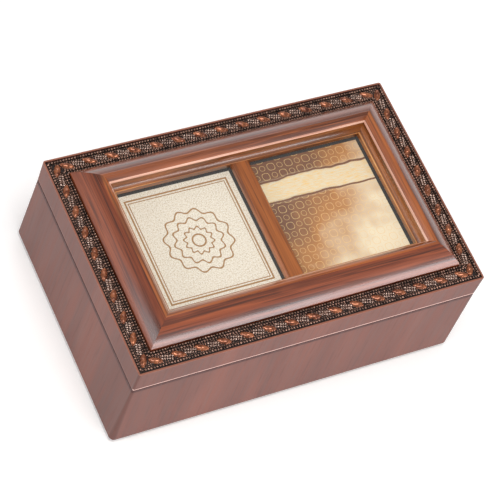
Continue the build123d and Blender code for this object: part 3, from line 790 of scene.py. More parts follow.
@dataclass(frozen=True)
class GoldCard:
    """Warm gold paper: a glow from one corner, a lattice of quatrefoils and a cream band."""

    plan: CardPlan
    name: str = "gold_card"
    glow: Colour = srgb(252, 238, 206)
    amber: Colour = srgb(196, 130, 56)
    umber: Colour = srgb(122, 70, 28)
    gold: Colour = srgb(250, 214, 140)
    cream: Colour = srgb(243, 232, 206)
    ink: Colour = srgb(24, 18, 16)
    lattice: float = 8.2 * MM
    band_y: float = 13.0 * MM
    band_half: float = 5.2 * MM

    def build(self) -> bpy.types.Material:
        """Make the material.

        Returns:
            The material.
        """
        sketch = NodeSketch(self.name)
        over_x, over_y, inside = self.plan.axes(sketch)
        slope = over_x * 0.8 + over_y * -0.6
        clouds = sketch.noise(85, 2, 0.5)
        light = slope.span(-34 * MM, 34 * MM, -0.05, 0.95) + (clouds - 0.5) * 0.6
        ground = sketch.ramp(light, ((0.08, self.umber), (0.42, self.amber), (0.85, self.glow)))
        turn = 2 * math.pi / self.lattice
        wave_x = (over_x * turn).cosine()
        wave_y = (over_y * turn).cosine()
        foil = wave_x * wave_y
        lines = foil.line(0.3, 0.07).most(foil.line(-0.62, 0.05))
        ground = sketch.blend(lines * 0.7, ground, self.gold)
        fibres = sketch.noise((300, 2400, 300), 3, 0.6)
        band = sketch.ramp(fibres, ((0.35, self.gold), (0.6, self.cream)))
        ragged = over_y + (clouds - 0.5) * (3 * MM)
        ground = sketch.blend(ragged.line(self.band_y, self.band_half), ground, band)
        for offset in (-1, 1):
            line = ragged.line(self.band_y + offset * self.band_half, 0.45 * MM)
            ground = sketch.blend(line, ground, self.umber)
        return sketch.finish(
            # Painted shadow: a dark line round the card where the window's edge shades it.
            Base_Color=sketch.blend(self.plan.edge(inside), ground, self.ink),
            Roughness=fibres.span(0.3, 0.7, 0.32, 0.45),
            Normal=sketch.bump(fibres, 0.01 * MM, 0.3),
        )


@dataclass(frozen=True)
class StudioPaper:
    """The pale sweep that the box stands on."""

    name: str = "studio_paper"
    glow: float = 0.2

    def build(self) -> bpy.types.Material:
        """Make the material.

        Returns:
            The material.
        """
        sketch = NodeSketch(self.name)
        tooth = sketch.noise(700, 2, 0.5)
        return sketch.finish(
            Base_Color=sketch.ramp(tooth, ((0.3, (0.93, 0.93, 0.93)), (0.7, (0.96, 0.96, 0.96)))),
            Roughness=0.85,
            Emission_Color=(1.0, 1.0, 1.0),
            Emission_Strength=self.glow,
        )


def mesh_of(shape: bmesh.types.BMesh, name: str) -> bpy.types.Mesh:
    """A mesh from a shape, which is freed.

    Args:
        shape: The shape in the making.
        name: The mesh's name.

    Returns:
        The mesh.
    """
    mesh = bpy.data.meshes.new(name)
    shape.to_mesh(mesh)
    shape.free()
    return mesh


def linked(name: str, data: bpy.types.ID) -> bpy.types.Object:
    """A new object in the scene.

    Args:
        name: The object's name.
        data: Its mesh, camera or light.

    Returns:
        The object.
    """
    thing = bpy.data.objects.new(name, data)
    bpy.context.scene.collection.objects.link(thing)
    return thing


def smooth(mesh: bpy.types.Mesh, sharp_degrees: float = 34.0) -> bpy.types.Mesh:
    """Smooth shading with edges kept sharp past an angle.

    Args:
        mesh: The mesh.
        sharp_degrees: The angle past which an edge stays sharp.

    Returns:
        The same mesh.
    """
    mesh.polygons.foreach_set("use_smooth", [True] * len(mesh.polygons))
    mesh.set_sharp_from_angle(angle=math.radians(sharp_degrees))
    mesh.update()
    return mesh


def show(name: str, mesh: bpy.types.Mesh, body: str, slot: str, *nodes: str) -> bpy.types.Object:
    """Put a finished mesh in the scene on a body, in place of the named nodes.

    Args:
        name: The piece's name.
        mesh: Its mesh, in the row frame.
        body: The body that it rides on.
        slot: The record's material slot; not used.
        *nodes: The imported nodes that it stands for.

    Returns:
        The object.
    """
    piece = linked(name, mesh)
    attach(piece, body)
    if nodes:
        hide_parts(*nodes)
    log.info("%s on %s, %d faces", name, body, len(mesh.polygons))
    return piece


class Side(Enum):
    """The four sides of the box, as turns about Z from the front."""

    FRONT = 0
    RIGHT = 90
    BACK = 180
    LEFT = -90

    @property
    def label(self) -> str:
        """The side's name in node names."""
        return self.name.lower()

    @property
    def grain(self) -> Grain:
        """The way that a rail on this side runs."""
        return Grain.ALONG_X if self in (Side.FRONT, Side.BACK) else Grain.ALONG_Y

    def size(self, plan: BoxPlan) -> tuple[float, float]:
        """The side's sizes.

        Args:
            plan: The box's plan.

        Returns:
            Half the side's length, and half the box's size across it.
        """
        if self in (Side.FRONT, Side.BACK):
            return plan.half_x, plan.half_y
        return plan.half_y, plan.half_x

    def place(self, plan: BoxPlan) -> Matrix:
        """Where the side lies.

        Args:
            plan: The box's plan.

        Returns:
            The way from rail axes (along, inset from the edge, height) to the row frame.
        """
        across = self.size(plan)[1]
        turn = Matrix.Rotation(math.radians(self.value), 4, "Z")
        return Matrix.Translation((0, plan.centre_y, 0)) @ turn @ Matrix.Translation((0, -across, 0))


def arc(start: Point, through: Point, end: Point, steps: int) -> list[Point]:
    """Points on the circle through three points, without the first.

    Args:
        start: The first point.
        through: A point between.
        end: The last point.
        steps: How many points to give.

    Returns:
        The points, with the end as the last.
    """
    (ax, ay), (bx, by), (cx, cy) = start, through, end
    double = 2 * (ax * (by - cy) + bx * (cy - ay) + cx * (ay - by))
    aa, bb, cc = ax * ax + ay * ay, bx * bx + by * by, cx * cx + cy * cy
    ux = (aa * (by - cy) + bb * (cy - ay) + cc * (ay - by)) / double
    uy = (aa * (cx - bx) + bb * (ax - cx) + cc * (bx - ax)) / double
    radius = math.hypot(ax - ux, ay - uy)
    first = math.atan2(ay - uy, ax - ux)
    middle = (math.atan2(by - uy, bx - ux) - first) % (2 * math.pi)
    last = (math.atan2(cy - uy, cx - ux) - first) % (2 * math.pi)
    sweep = last if middle < last else last - 2 * math.pi
    angles = [first + sweep * (index + 1) / steps for index in range(steps)]
    return [(ux + radius * math.cos(a), uy + radius * math.sin(a)) for a in angles]


@dataclass(frozen=True)
class Course:
    """One stretch of a rail's outline, with the number of its material."""

    points: Sequence[Point]
    slot: int


def swept(name: str, ends: Sequence[Sequence[Triple]], slots: Sequence[int]) -> bpy.types.Mesh:
    """A closed bar between two matching outlines.

    Args:
        name: The mesh's name.
        ends: The outlines at its two ends, point by point.
        slots: Each point's material number, for the face that leads up to it.

    Returns:
        The mesh.
    """
    shape = bmesh.new()
    loops = [[shape.verts.new(place) for place in end] for end in ends]
    near, far = loops
    count = len(slots)
    for index in range(count):
        after = (index + 1) % count
        face = shape.faces.new((near[index], near[after], far[after], far[index]))
        face.material_index = slots[after]
    for loop in loops:
        shape.faces.new(loop)
    bmesh.ops.recalc_face_normals(shape, faces=shape.faces)
    return mesh_of(shape, name)


def mitred_rail(name: str, courses: Sequence[Course], side: Side, plan: BoxPlan) -> bpy.types.Mesh:
    """A rail with mitred ends, its outline swept along one side of the lid.

    Args:
        name: The mesh's name.
        courses: The closed outline in (inset, height), stretch by stretch, in metres.
        side: The side that it lies on.
        plan: The box's plan.

    Returns:
        The closed mesh in the row frame.
    """
    half_run = side.size(plan)[0]
    outline = [point for course in courses for point in course.points]
    slots = [course.slot for course in courses for _ in course.points]
    ends = [[(sign * (half_run - inset), inset, height) for inset, height in outline] for sign in (-1, 1)]
    mesh = swept(name, ends, slots)
    mesh.transform(side.place(plan))
    return mesh


def joined(name: str, parts: Sequence[tuple[bpy.types.Mesh, Matrix, int]]) -> bpy.types.Mesh:
    """Several meshes in one, each moved and given one material number.

    Args:
        name: The new mesh's name.
        parts: Each mesh with its place and material number.

    Returns:
        The joined mesh.
    """
    shape = bmesh.new()
    for mesh, place, slot in parts:
        copy = mesh.copy()
        copy.transform(place)
        start = len(shape.faces)
        shape.from_mesh(copy)
        shape.faces.ensure_lookup_table()
        for face in shape.faces[start:]:
            face.material_index = slot
        bpy.data.meshes.remove(copy)
    return mesh_of(shape, name)


@dataclass(frozen=True)
class Motif:
    """A small shape that is repeated, with its material and how it stands."""

    shape: bpy.types.Object
    slot: int
    finish: bpy.types.Material
    sunk: float
    turn: float
    wobble: float


@dataclass(frozen=True)
class Run:
    """One row of a motif: how many, where along the side and how far in, and their step."""

    motif: str
    count: int
    along: float
    inset: float
    step: float


class RowTree:
    """A Geometry Nodes tree that sets copies of one shape in a straight, even row."""

    seed = 11

    def __init__(self) -> None:
        """Build the tree once, with its sizes as named inputs."""
        tree = bpy.data.node_groups.new("even_row", "GeometryNodeTree")
        sockets = tree.interface
        sockets.new_socket("Geometry", in_out="INPUT", socket_type="NodeSocketGeometry")
        kinds = (
            ("Shape", "NodeSocketObject"),
            ("Count", "NodeSocketInt"),
            ("Start", "NodeSocketVector"),
            ("Step", "NodeSocketVector"),
            ("Turn", "NodeSocketVector"),
            ("Wobble", "NodeSocketFloat"),
            ("Finish", "NodeSocketMaterial"),
        )
        self.inputs = {
            name: sockets.new_socket(name, in_out="INPUT", socket_type=kind).identifier
            for name, kind in kinds
        }
        sockets.new_socket("Geometry", in_out="OUTPUT", socket_type="NodeSocketGeometry")
        given, line, shape, drift, reach, turn, spread, real, dress, out = (
            tree.nodes.new(kind)
            for kind in (
                "NodeGroupInput",
                "GeometryNodeMeshLine",
                "GeometryNodeObjectInfo",
                "FunctionNodeRandomValue",
                "ShaderNodeVectorMath",
                "ShaderNodeVectorMath",
                "GeometryNodeInstanceOnPoints",
                "GeometryNodeRealizeInstances",
                "GeometryNodeSetMaterial",
                "NodeGroupOutput",
            )
        )
        drift.data_type = "FLOAT_VECTOR"
        drift.inputs[0].default_value = (-1, -1, -1)
        drift.inputs[1].default_value = (1, 1, 1)
        drift.inputs["Seed"].default_value = self.seed
        reach.operation = "SCALE"
        wires = (
            (given, "Count", line, "Count"),
            (given, "Start", line, "Start Location"),
            (given, "Step", line, "Offset"),
            (given, "Shape", shape, "Object"),
            (drift, 0, reach, 0),
            (given, "Wobble", reach, "Scale"),
            (given, "Turn", turn, 0),
            (reach, 0, turn, 1),
            (line, "Mesh", spread, "Points"),
            (shape, "Geometry", spread, "Instance"),
            (turn, 0, spread, "Rotation"),
            (spread, "Instances", real, "Geometry"),
            (real, "Geometry", dress, "Geometry"),
            (given, "Finish", dress, "Material"),
            (dress, "Geometry", out, 0),
        )
        for source, output, target, entry in wires:
            tree.links.new(source.outputs[output], target.inputs[entry])
        self.tree = tree

    def row(self, motif: Motif, run: Run, top_z: float) -> bpy.types.Mesh:
        """One row as a plain mesh.

        Args:
            motif: The shape that is repeated.
            run: The row's place and count.
            top_z: The height that the motif is sunk under.

        Returns:
            The row's mesh, in rail axes.
        """
        holder = linked("row", bpy.data.meshes.new("row"))
        modifier = holder.modifiers.new("row", "NODES")
        modifier.node_group = self.tree
        values = {
            "Shape": motif.shape,
            "Count": run.count,
            "Start": (run.along, run.inset, top_z - motif.sunk),
            "Step": (run.step, 0, 0),
            "Turn": (0, 0, motif.turn),
            "Wobble": motif.wobble,
            "Finish": motif.finish,
        }
        for name, value in values.items():
            modifier[self.inputs[name]] = value
        graph = bpy.context.evaluated_depsgraph_get()
        mesh = bpy.data.meshes.new_from_object(holder.evaluated_get(graph), depsgraph=graph)
        holder.modifiers.remove(modifier)
        bpy.data.objects.remove(holder)
        return mesh


@dataclass
class BeadTrim:
    """The bead-and-leaf strip let into the lid's top edge, a piece for each side."""

    plan: BoxPlan
    rows: RowTree
    ground: bpy.types.Material
    bead: bpy.types.Material
    leaf: bpy.types.Material
    seed: bpy.types.Material
    inset_in: float = 0.7 * MM
    inset_out: float = 8.4 * MM
    depth: float = 1.8 * MM
    ground_drop: float = 0.45 * MM
    round_over: float = 0.35 * MM
    outer_row: float = 1.55 * MM
    inner_rows: tuple[float, float] = (6.55 * MM, 7.75 * MM)
    bead_pitch: float = 1.25 * MM
    bead_half: Triple = (0.60 * MM, 0.56 * MM, 0.66 * MM)
    bead_turn: float = math.radians(24)
    bead_sunk: float = 0.15 * MM
    leaf_pitch: float = 10.0 * MM
    leaf_inset: float = 4.2 * MM
    leaf_half: float = 3.15 * MM
    leaf_wide: float = 1.5 * MM
    leaf_rise: float = 1.1 * MM
    leaf_turn: float = math.radians(-25)
    leaf_sunk: float = 0.3 * MM
    leaf_tuck: float = 0.25 * MM
    pebble_insets: tuple[float, ...] = (2.55 * MM, 3.45 * MM, 4.3 * MM, 5.1 * MM, 5.75 * MM)
    pebble_pitch: float = 1.02 * MM
    pebble_sunk: float = 0.43 * MM
    pebble_half: Triple = (0.42 * MM, 0.40 * MM, 0.42 * MM)
    seed_count: int = 5
    seed_step: float = 1.0 * MM
    seed_half: Triple = (0.46 * MM, 0.62 * MM, 0.62 * MM)
    seed_turn: float = math.radians(-32)
    seed_stagger: float = 0.62 * MM
    seed_drift: float = 0.25 * MM
    seed_sunk: float = 0.2 * MM

    def oval(self, name: str, half: Triple) -> bpy.types.Object:
        """A small oval bead, for repeating.

        Args:
            name: The object's name.
            half: Half its size along x, y and z, in metres.

        Returns:
            The object, linked to the scene.
        """
        shape = bmesh.new()
        bmesh.ops.create_uvsphere(shape, u_segments=8, v_segments=6, radius=1.0)
        bmesh.ops.scale(shape, vec=half, verts=shape.verts)
        return linked(name, smooth(mesh_of(shape, name), 80))

    def almond(self) -> bpy.types.Object:
        """One raised leaf: a pointed oval, its middle high, its rim low, with a dished base.

        Returns:
            The leaf, linked to the scene.
        """
        lengths, widths = 12, 6
        fullness, round_across, round_along = 1.05, 0.7, 0.6
        dish_deep, dish_at, dish_wide = 0.45, 0.35, 0.22
        shape = bmesh.new()
        grid = []
        for index in range(lengths + 1):
            share = index / lengths
            u = -1 + 2 * share
            half = math.sqrt(max(0.0, 1 - u * u)) ** fullness
            line = []
            for step in range(widths + 1):
                v = -1 + 2 * step / widths
                rise = (1 - v * v) ** round_across * half ** round_along
                dish = dish_deep * math.exp(-((u + dish_at) / dish_wide) ** 2) * (1 - abs(v))
                height = max(0.0, rise - dish) * self.leaf_rise
                tuck = self.leaf_tuck * (1 - half * (1 - v * v))
                place = (u * self.leaf_half, v * half * self.leaf_wide, height - tuck)
                line.append(shape.verts.new(place))
            grid.append(line)
        for low, high in zip(grid, grid[1:]):
            for step in range(widths):
                shape.faces.new((low[step], high[step], high[step + 1], low[step + 1]))
        rim = [line[0] for line in grid] + [line[-1] for line in reversed(grid)]
        foot = shape.verts.new((0, 0, -self.leaf_rise * 0.5))
        for first, second in zip(rim, rim[1:] + rim[:1]):
            shape.faces.new((second, first, foot))
        bmesh.ops.remove_doubles(shape, verts=shape.verts, dist=0.004 * MM)
        bmesh.ops.recalc_face_normals(shape, faces=shape.faces)
        return linked("almond_leaf", smooth(mesh_of(shape, "almond_leaf"), 60))

    def ground_section(self) -> list[Course]:
        """The strip's outline, sunk a little under the lid's edge, with rounded rims.

        Returns:
            The outline in (inset, height), in metres.
        """
        top = self.plan.top_z
        sunk = top - self.ground_drop
        foot = top - self.depth
        r = self.round_over
        left, right = self.inset_in, self.inset_out
        points = [(left, foot), (left, sunk - r)]
        points += arc((left, sunk - r), (left + 0.3 * r, sunk - 0.3 * r), (left + r, sunk), 5)
        points += [(right - r, sunk)]
        points += arc((right - r, sunk), (right - 0.3 * r, sunk - 0.3 * r), (right, sunk - r), 5)
        points += [(right, foot)]
        return [Course(points, 0)]

    def motifs(self) -> dict[str, Motif]:
        """Make the small shapes that the strip repeats.

        Returns:
            The motifs by name.
        """
        bead = self.oval("trim_bead", self.bead_half)
        seed = self.oval("trim_seed", self.seed_half)
        pebble = self.oval("trim_pebble", self.pebble_half)
        return {
            "bead": Motif(bead, 1, self.bead, self.bead_sunk, self.bead_turn, 0.12),
            "seed": Motif(seed, 3, self.seed, self.seed_sunk, self.seed_turn, 0.1),
            "pebble": Motif(pebble, 1, self.bead, self.pebble_sunk, self.seed_turn, 0.2),
            "leaf": Motif(self.almond(), 2, self.leaf, self.leaf_sunk, self.leaf_turn, 0.03),
        }

    def runs(self, half_run: float) -> list[Run]:
        """The rows of a side: beads at the edges, leaves, seeds between them, and pebbles.

        Args:
            half_run: Half the side's length.

        Returns:
            The rows, in the order in which they are made.
        """
        runs = []
        for inset in (self.outer_row, *self.inner_rows):
            length = 2 * (half_run - inset)
            count = int(length // self.bead_pitch)
            step = length / count
            runs.append(Run("bead", count, -length / 2 + step / 2, inset, step))
        leaves = int(2 * half_run // self.leaf_pitch)
        first = -(leaves - 1) / 2 * self.leaf_pitch
        runs.append(Run("leaf", leaves, first, self.leaf_inset, self.leaf_pitch))
        for index in range(2 * self.seed_count):
            from_middle = index / 2 - (self.seed_count - 0.5) / 2
            along = first + self.leaf_pitch / 2 + from_middle * self.seed_step
            stagger = self.seed_stagger if index % 2 else -self.seed_stagger
            inset = self.leaf_inset - from_middle * self.seed_drift + stagger
            runs.append(Run("seed", leaves - 1, along, inset, self.leaf_pitch))
        step = self.pebble_pitch
        for index, inset in enumerate(self.pebble_insets):
            count = int(2 * (half_run - inset) // step)
            along = -(count - 1) / 2 * step + (index % 2) * step / 2
            runs.append(Run("pebble", count - 1, along, inset, step))
        return runs

    def build(self) -> None:
        """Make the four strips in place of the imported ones."""
        motifs = self.motifs()
        for side in Side:
            ground = smooth(mitred_rail("ground", self.ground_section(), side, self.plan))
            parts = [(ground, Matrix(), 0)]
            for run in self.runs(side.size(self.plan)[0]):
                motif = motifs[run.motif]
                mesh = self.rows.row(motif, run, self.plan.top_z)
                parts.append((mesh, side.place(self.plan), motif.slot))
            mesh = joined(f"trim_{side.label}", parts)
            for finish in (self.ground, self.bead, self.leaf, self.seed):
                mesh.materials.append(finish)
            show(f"bead_leaf_trim_{side.label}", mesh, "lid", "bead_trim", f"lid_trim_{side.label}")
        for motif in motifs.values():
            bpy.data.objects.remove(motif.shape)


@dataclass
class LidMoulding:
    """The ogee moulding round the windows: a swelling slope, a brow, a ridge and a cove."""

    plan: BoxPlan
    toe_inset: float = 8.4 * MM
    toe_rise: float = 1.2 * MM
    shoulder: Point = (12.0 * MM, 5.45 * MM)
    crest_inset: float = 17.4 * MM
    crest_rise: float = 8.8 * MM
    crest_round: float = 0.9 * MM
    crest_dip: float = 0.1 * MM
    fall_dip: float = 0.5 * MM
    ridge: Point = (20.1 * MM, 6.1 * MM)
    hollow: Point = (20.9 * MM, 3.7 * MM)
    window: Point = (22.4 * MM, 2.0 * MM)
    lip_drop: float = 0.3 * MM
    lip_width: float = 2.7 * MM
    ridge_round: float = 0.28 * MM
    tip_off: Point = (0.02 * MM, 0.12 * MM)
    brink: float = 0.3 * MM
    sill_depth: float = 0.25 * MM

    def section(self) -> list[Course]:
        """The rail's outline, from the toe over the crest to the window.

        Returns:
            The outline in (inset, height), in metres.
        """
        top = self.plan.top_z
        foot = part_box("lid_moulding_front")[0].z
        toe = (self.toe_inset, top + self.toe_rise)
        shoulder = (self.shoulder[0], top + self.shoulder[1])
        crest = (self.crest_inset - self.crest_round, top + self.crest_rise - self.crest_dip)
        brow = (self.crest_inset, top + self.crest_rise)
        fall = (self.crest_inset + self.crest_round, top + self.crest_rise - self.fall_dip)
        ridge = (self.ridge[0], top + self.ridge[1])
        r = self.ridge_round
        before = (ridge[0] - r * 0.6, ridge[1] + r)
        after = (ridge[0] + r * 0.25, ridge[1] - r)
        hollow = (self.hollow[0], top + self.hollow[1])
        window = (self.window[0], top + self.window[1])
        lip_z = top - self.lip_drop
        rebate = self.window[0] - self.lip_width
        swell_steps, brow_steps, nose_steps, cove_steps = 22, 8, 4, 14
        swell = [toe] + arc(toe, shoulder, crest, swell_steps)
        over = arc(crest, brow, fall, brow_steps)
        tip = (ridge[0] + self.tip_off[0], ridge[1] + self.tip_off[1])
        nose = [before] + arc(before, tip, after, nose_steps)
        cove = arc(after, hollow, window, cove_steps)
        sill = [(window[0], window[1] - self.sill_depth)]
        inner = [(window[0], lip_z), (rebate, lip_z), (rebate, foot), (self.toe_inset, foot)]
        steepness = (fall[1] - before[1]) / (before[0] - fall[0])
        brink = (before[0] - self.brink, before[1] + self.brink * steepness)
        return [
            Course(swell, 0),
            Course(over, 1),
            Course([brink], 1),
            # Slot 3: the painted highlight line along the ridge.
            Course(nose, 3),
            Course(cove[:-1], 2),
            # Slot 4: the painted highlight line at the window's edge.
            Course(cove[-1:] + sill, 4),
            Course(inner, 2),
        ]

    def build(self) -> None:
        """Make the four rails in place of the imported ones."""
        for side in Side:
            mesh = smooth(mitred_rail(f"moulding_{side.label}", self.section(), side, self.plan), 28)
            for tone in (WoodTone.SWELL, WoodTone.BROW, WoodTone.COVE, WoodTone.EDGE, WoodTone.SILL):
                name = f"{tone.name.lower()}_{side.grain.value}"
                found = bpy.data.materials.get(name)
                mesh.materials.append(found or MouldingWood(name, tone, side.grain).build())
            show(f"moulding_{side.label}", mesh, "lid", "moulding_wood", f"lid_moulding_{side.label}")


@dataclass
class SoftPanel:
    """A thin velvet-covered pad with a crowned face and drawn-in rim."""

    node: str
    body: str
    finish: bpy.types.Material
    crown: float = 0.35 * MM
    rim: float = 2.5 * MM
    ripple: float = 0.10 * MM
    cell: float = 2.0 * MM
    gap: float = 0.1 * MM
    wave_count: int = 9
    wave_span: Point = (40, 150)
    wave_start: Point = (0, 6.28)
    thinnest: float = 0.15
    rim_share: float = 0.25
    face_up: bool = True
    seed: int = 5

    def waves(self) -> list[Triple]:
        """Draw the nap's gentle waves.

        Returns:
            Each wave's radians per metre along x and y, and its start in radians.
        """
        uniform = random.Random(self.seed).uniform
        spans = (self.wave_span, self.wave_span, self.wave_start)
        return [tuple(uniform(*span) for span in spans) for _ in range(self.wave_count)]

    def build(self) -> bpy.types.Object:
        """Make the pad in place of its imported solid.

        Returns:
            The pad.
        """
        low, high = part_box(self.node)
        width = high.x - low.x - 2 * self.gap
        depth = high.y - low.y - 2 * self.gap
        columns = max(8, int(width / self.cell))
        rows = max(8, int(depth / self.cell))
        thick = high.z - low.z
        waves = self.waves()
        shape = bmesh.new()

        def point(column: int, row: int, soft: bool) -> bmesh.types.BMVert:
            """One corner of the grid.

            Args:
                column: Its column.
                row: Its row.
                soft: Whether it lies on the soft face; the other face is flat.

            Returns:
                The vertex.
            """
            u, v = column / columns, row / rows
            x = low.x + self.gap + u * width
            y = low.y + self.gap + v * depth
            edge = min(u * width, (1 - u) * width, v * depth, (1 - v) * depth)
            swell = math.sqrt(1 - (1 - min(1.0, edge / self.rim)) ** 2)
            stir = sum(math.sin(a * x + b * y + c) for a, b, c in waves) / len(waves)
            dome = math.sin(math.pi * u) * math.sin(math.pi * v)
            height = thick - self.crown + self.crown * dome + self.ripple * stir
            height *= self.rim_share + (1 - self.rim_share) * swell
            rise = min(max(self.thinnest * thick, height), thick) if soft else 0.0
            z = low.z + rise if self.face_up else high.z - rise
            return shape.verts.new((x, y, z))

        soft, flat = (
            [[point(column, row, lies_soft) for row in range(rows + 1)] for column in range(columns + 1)]
            for lies_soft in (True, False)
        )
        for grid in (soft, flat):
            for left, right in zip(grid, grid[1:]):
                for row in range(rows):
                    shape.faces.new((left[row], right[row], right[row + 1], left[row + 1]))
        rim = [(column, 0) for column in range(columns)] + [(columns, row) for row in range(rows)]
        rim += [(column, rows) for column in range(columns, 0, -1)]
        rim += [(0, row) for row in range(rows, 0, -1)]
        for (a, b), (c, d) in zip(rim, rim[1:] + rim[:1]):
            shape.faces.new((soft[a][b], soft[c][d], flat[c][d], flat[a][b]))
        bmesh.ops.recalc_face_normals(shape, faces=shape.faces)
        mesh = smooth(mesh_of(shape, self.node), 70)
        mesh.materials.append(self.finish)
        piece = show(f"velvet_{self.node}", mesh, self.body, "velvet", self.node)
        return piece


@dataclass
class BayLining:
    """The keepsake bay's four velvet-covered lining boards, with soft rounded top edges."""

    finish: bpy.types.Material
    board: float = 1.2 * MM
    gap: float = 0.02 * MM
    steps: int = 8

    def wall(self, start: Vector, end: Vector, inward: Vector, low: float, high: float) -> bpy.types.Mesh:
        """One board with a rolled top edge.

        Args:
            start: Where its outer face starts, in plan.
            end: Where its outer face ends, in plan.
            inward: The direction towards the bay's middle.
            low: Its foot's height.
            high: Its top's height.

        Returns:
            The mesh in the row frame.
        """
        radius = self.board / 2
        outline = [(self.gap, low), (self.gap, high - radius)]
        for index in range(1, self.steps):
            angle = math.pi * (1 - index / self.steps)
            across = radius + (radius - self.gap) * math.cos(angle)
            outline.append((across, high - radius + radius * math.sin(angle)))
        outline += [(self.board, high - radius), (self.board, low)]
        ends = [
            [base + inward * across + Vector((0, 0, height)) for across, height in outline]
            for base in (start, end)
        ]
        return swept("lining_wall", ends, [0] * len(outline))

    def build(self) -> None:
        """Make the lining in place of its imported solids."""
        low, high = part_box("bay_lining")
        b = self.board
        walls = (
            (Vector((low.x, low.y, 0)), Vector((low.x, high.y, 0)), Vector((1, 0, 0))),
            (Vector((high.x, low.y, 0)), Vector((high.x, high.y, 0)), Vector((-1, 0, 0))),
            (Vector((low.x + b, low.y, 0)), Vector((high.x - b, low.y, 0)), Vector((0, 1, 0))),
            (Vector((low.x + b, high.y, 0)), Vector((high.x - b, high.y, 0)), Vector((0, -1, 0))),
        )
        parts = [(self.wall(*wall, low.z, high.z), Matrix(), 0) for wall in walls]
        mesh = smooth(joined("bay_lining", parts), 50)
        mesh.materials.append(self.finish)
        piece = show("velvet_bay_lining", mesh, "case", "velvet", "bay_lining")


@dataclass
class PackedDress:
    """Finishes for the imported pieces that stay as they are."""

    finishes: dict[str, bpy.types.Material]

    def build(self, plain: Callable[[str], str]) -> None:
        """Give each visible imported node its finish.

        Args:
            plain: The record's slot of a node.
        """
        for name, node in frame["nodes"].items():
            if node.hide_render:
                continue
            node.data.materials.clear()
            node.data.materials.append(self.finishes[plain(name)])
            log.info("%s dressed as %s", name, plain(name))


@dataclass
class Studio:
    """The pale floor, the soft lights and the camera."""

    plan: BoxPlan
    turn_degrees: float = -46.153
    lift_degrees: float = 55.184
    roll_degrees: float = 25.756
    unit: float = 0.158
    off_x: float = 0.00115
    off_y: float = -0.01055
    distance: float = 5.80636
    height_share: float = 0.33713
    lens: float = 158.483
    foot_z: float = 2.4 * MM
    aim: Triple = (0, 0, 0.03)
    sky_strength: float = 0.40

    def camera(self) -> bpy.types.Object:
        """Set the camera at the photograph's place.

        Returns:
            The camera.
        """
        angles = (self.turn_degrees, self.lift_degrees, self.roll_degrees)
        turn, lift, roll = (math.radians(angle) for angle in angles)
        back = Vector((math.sin(turn) * math.cos(lift), -math.cos(turn) * math.cos(lift), math.sin(lift)))
        right = Vector((0, 0, 1)).cross(back).normalized()
        over = back.cross(right)
        cam_x = math.cos(roll) * right + math.sin(roll) * over
        cam_y = -math.sin(roll) * right + math.cos(roll) * over
        middle = Vector((0, 0, self.height_share / 2))
        eye = middle - self.off_x * cam_x - self.off_y * cam_y + self.distance * back
        eye = eye * self.unit + Vector((0, self.plan.centre_y, self.foot_z))
        data = bpy.data.cameras.new("camera")
        data.sensor_width = 36.0
        data.lens = self.lens
        data.clip_start = 0.01
        camera = linked("camera", data)
        matrix = Matrix((cam_x, cam_y, back)).transposed().to_4x4()
        matrix.translation = eye
        camera.matrix_world = matrix
        bpy.context.scene.camera = camera
        return camera

    def softbox(self, name: str, place: Triple, size: Point, power: float, tint: Colour) -> None:
        """One soft light, pointed at the box.

        Args:
            name: The light's name.
            place: Where it hangs, in metres.
            size: Its width and height.
            power: Its power in watts.
            tint: Its colour.
        """
        data = bpy.data.lights.new(name, "AREA")
        data.shape = "RECTANGLE"
        data.size, data.size_y = size
        data.energy = power
        data.color = tint
        light = linked(name, data)
        light.location = place
        light.rotation_euler = (Vector(self.aim) - Vector(place)).to_track_quat("-Z", "Y").to_euler()

    def floor(self) -> None:
        """A wide pale sweep under the box."""
        shape = bmesh.new()
        bmesh.ops.create_grid(shape, x_segments=24, y_segments=24, size=3.0)
        mesh = mesh_of(shape, "floor")
        mesh.materials.append(StudioPaper().build())
        floor = linked("floor", mesh)

    def build(self) -> None:
        """Set up the floor, the world, the lights and the camera."""
        self.floor()
        self.camera()
        world = bpy.data.worlds.new("studio")
        world.use_nodes = True
        sky = world.node_tree.nodes["Background"]
        sky.inputs["Color"].default_value = (1.0, 0.98, 0.97, 1.0)
        sky.inputs["Strength"].default_value = self.sky_strength
        bpy.context.scene.world = world
        bpy.context.scene.view_settings.view_transform = "Standard"
        self.softbox("key", (-0.1, -0.2, 0.95), (0.5, 0.5), 5.0, (1.0, 0.98, 0.95))
        self.softbox("front_strip", (0.42, -0.95, 0.19), (1.3, 0.24), 6.8, (1.0, 0.96, 0.98))
        self.softbox("left_fill", (-0.95, 0.1, 0.35), (0.5, 0.4), 2.8, (0.97, 0.97, 1.0))
        self.softbox("back_light", (0.35, 0.85, 0.5), (0.6, 0.3), 1.2, (0.95, 0.95, 1.0))


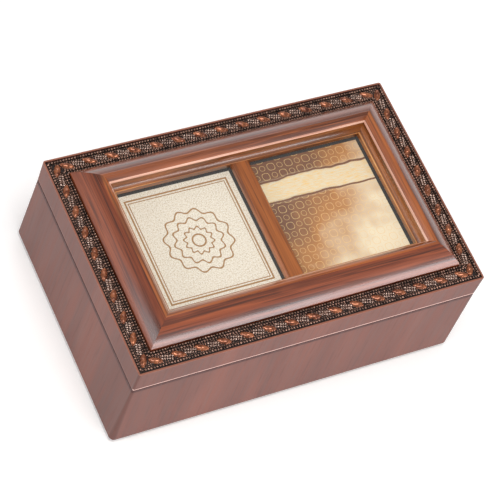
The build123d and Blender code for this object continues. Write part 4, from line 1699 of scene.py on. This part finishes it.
def finishes(plan: BoxPlan, cards: dict[str, CardPlan]) -> dict[str, bpy.types.Material]:
    """Every slot's material.

    Args:
        plan: The box's plan.
        cards: The two cards' places.

    Returns:
        The materials by the record's slot names.
    """
    return {
        "side_wood": SideWood(plan).build(),
        "moulding_wood": MouldingWood("bar_y", WoodTone.BAR, Grain.ALONG_Y).build(),
        "bead_trim": Antiqued(
            "trim_ground", srgb(17, 9, 7), srgb(34, 19, 15), metal=0.0, rough=0.6, coat=0.0
        ).build(),
        "board": PlainBoard("board", srgb(150, 104, 82), srgb(104, 68, 54)).build(),
        "chipboard": PlainBoard(
            "chipboard", srgb(160, 136, 104), srgb(112, 92, 68), across=900, along=500
        ).build(),
        "foot_rubber": MouldedPlastic("foot_rubber", srgb(36, 28, 27), 0.7).build(),
        "velvet": Velvet().build(),
        "clear_acrylic": ClearSheet("clear_acrylic", (0.94, 0.96, 0.97), 0.06).build(),
        "window_glass": ClearSheet("window_glass", (0.97, 0.98, 0.98), 0.07).build(),
        "cream_card": CreamCard(cards["left"]).build(),
        "gold_card": GoldCard(cards["right"]).build(),
        "brass": TurnedMetal("brass", srgb(222, 184, 104), srgb(176, 134, 66), 0.2).build(),
        "plate_metal": TurnedMetal("plate_metal", srgb(168, 168, 170), srgb(126, 126, 130), 0.42, 0.8,
                                   (1500.0, 1500.0, 1500.0), 0.05 * MM).build(),
        "steel": TurnedMetal("steel", srgb(206, 208, 212), srgb(158, 160, 166), 0.24).build(),
        "nickel": TurnedMetal("nickel", srgb(222, 220, 214), srgb(182, 180, 174), 0.12).build(),
        "fan_plastic": MouldedPlastic("fan_plastic", srgb(52, 50, 50), 0.45).build(),
    }


def card_plans(plan: BoxPlan, moulding: LidMoulding) -> dict[str, CardPlan]:
    """Where each card shows through its window.

    Args:
        plan: The box's plan.
        moulding: The moulding, whose inner edge bounds the windows.

    Returns:
        The two cards' places, by side.
    """
    edge_x = plan.half_x - moulding.window[0]
    half_y = plan.half_y - moulding.window[0]
    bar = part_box("mullion")[1].x
    half_x = (edge_x - bar) / 2
    centre = (edge_x + bar) / 2
    return {
        "left": CardPlan(-centre, plan.centre_y, half_x, half_y),
        "right": CardPlan(centre, plan.centre_y, half_x, half_y),
    }


def main() -> None:
    """Build the box's looks, sub-assembly by sub-assembly."""
    logging.basicConfig(level=logging.INFO, format="%(name)s: %(message)s")
    plan = BoxPlan.read()
    moulding = LidMoulding(plan)
    slots = {entry["node"]: entry["material_slot"] for entry in frame["record"]["subparts"]}
    finish = finishes(plan, card_plans(plan, moulding))
    moulding.build()
    BeadTrim(
        plan,
        RowTree(),
        ground=finish["bead_trim"],
        bead=Antiqued("trim_beads", srgb(34, 18, 14), srgb(178, 140, 122), 0.85, 0.15, 1500).build(),
        leaf=Antiqued("trim_leaves", srgb(96, 46, 28), srgb(188, 116, 78), 0.5, 0.18, 1100).build(),
        seed=Antiqued("trim_seeds", srgb(120, 92, 80), srgb(226, 200, 186), 0.85, 0.16).build(),
    ).build()
    SoftPanel("bay_pad", "case", finish["velvet"]).build()
    SoftPanel("lid_lining", "lid", finish["velvet"], crown=0.3 * MM, face_up=False, seed=9).build()
    BayLining(finish["velvet"]).build()
    PackedDress(finish).build(slots.__getitem__)
    Studio(plan).build()


if __name__ == "__main__":
    main()
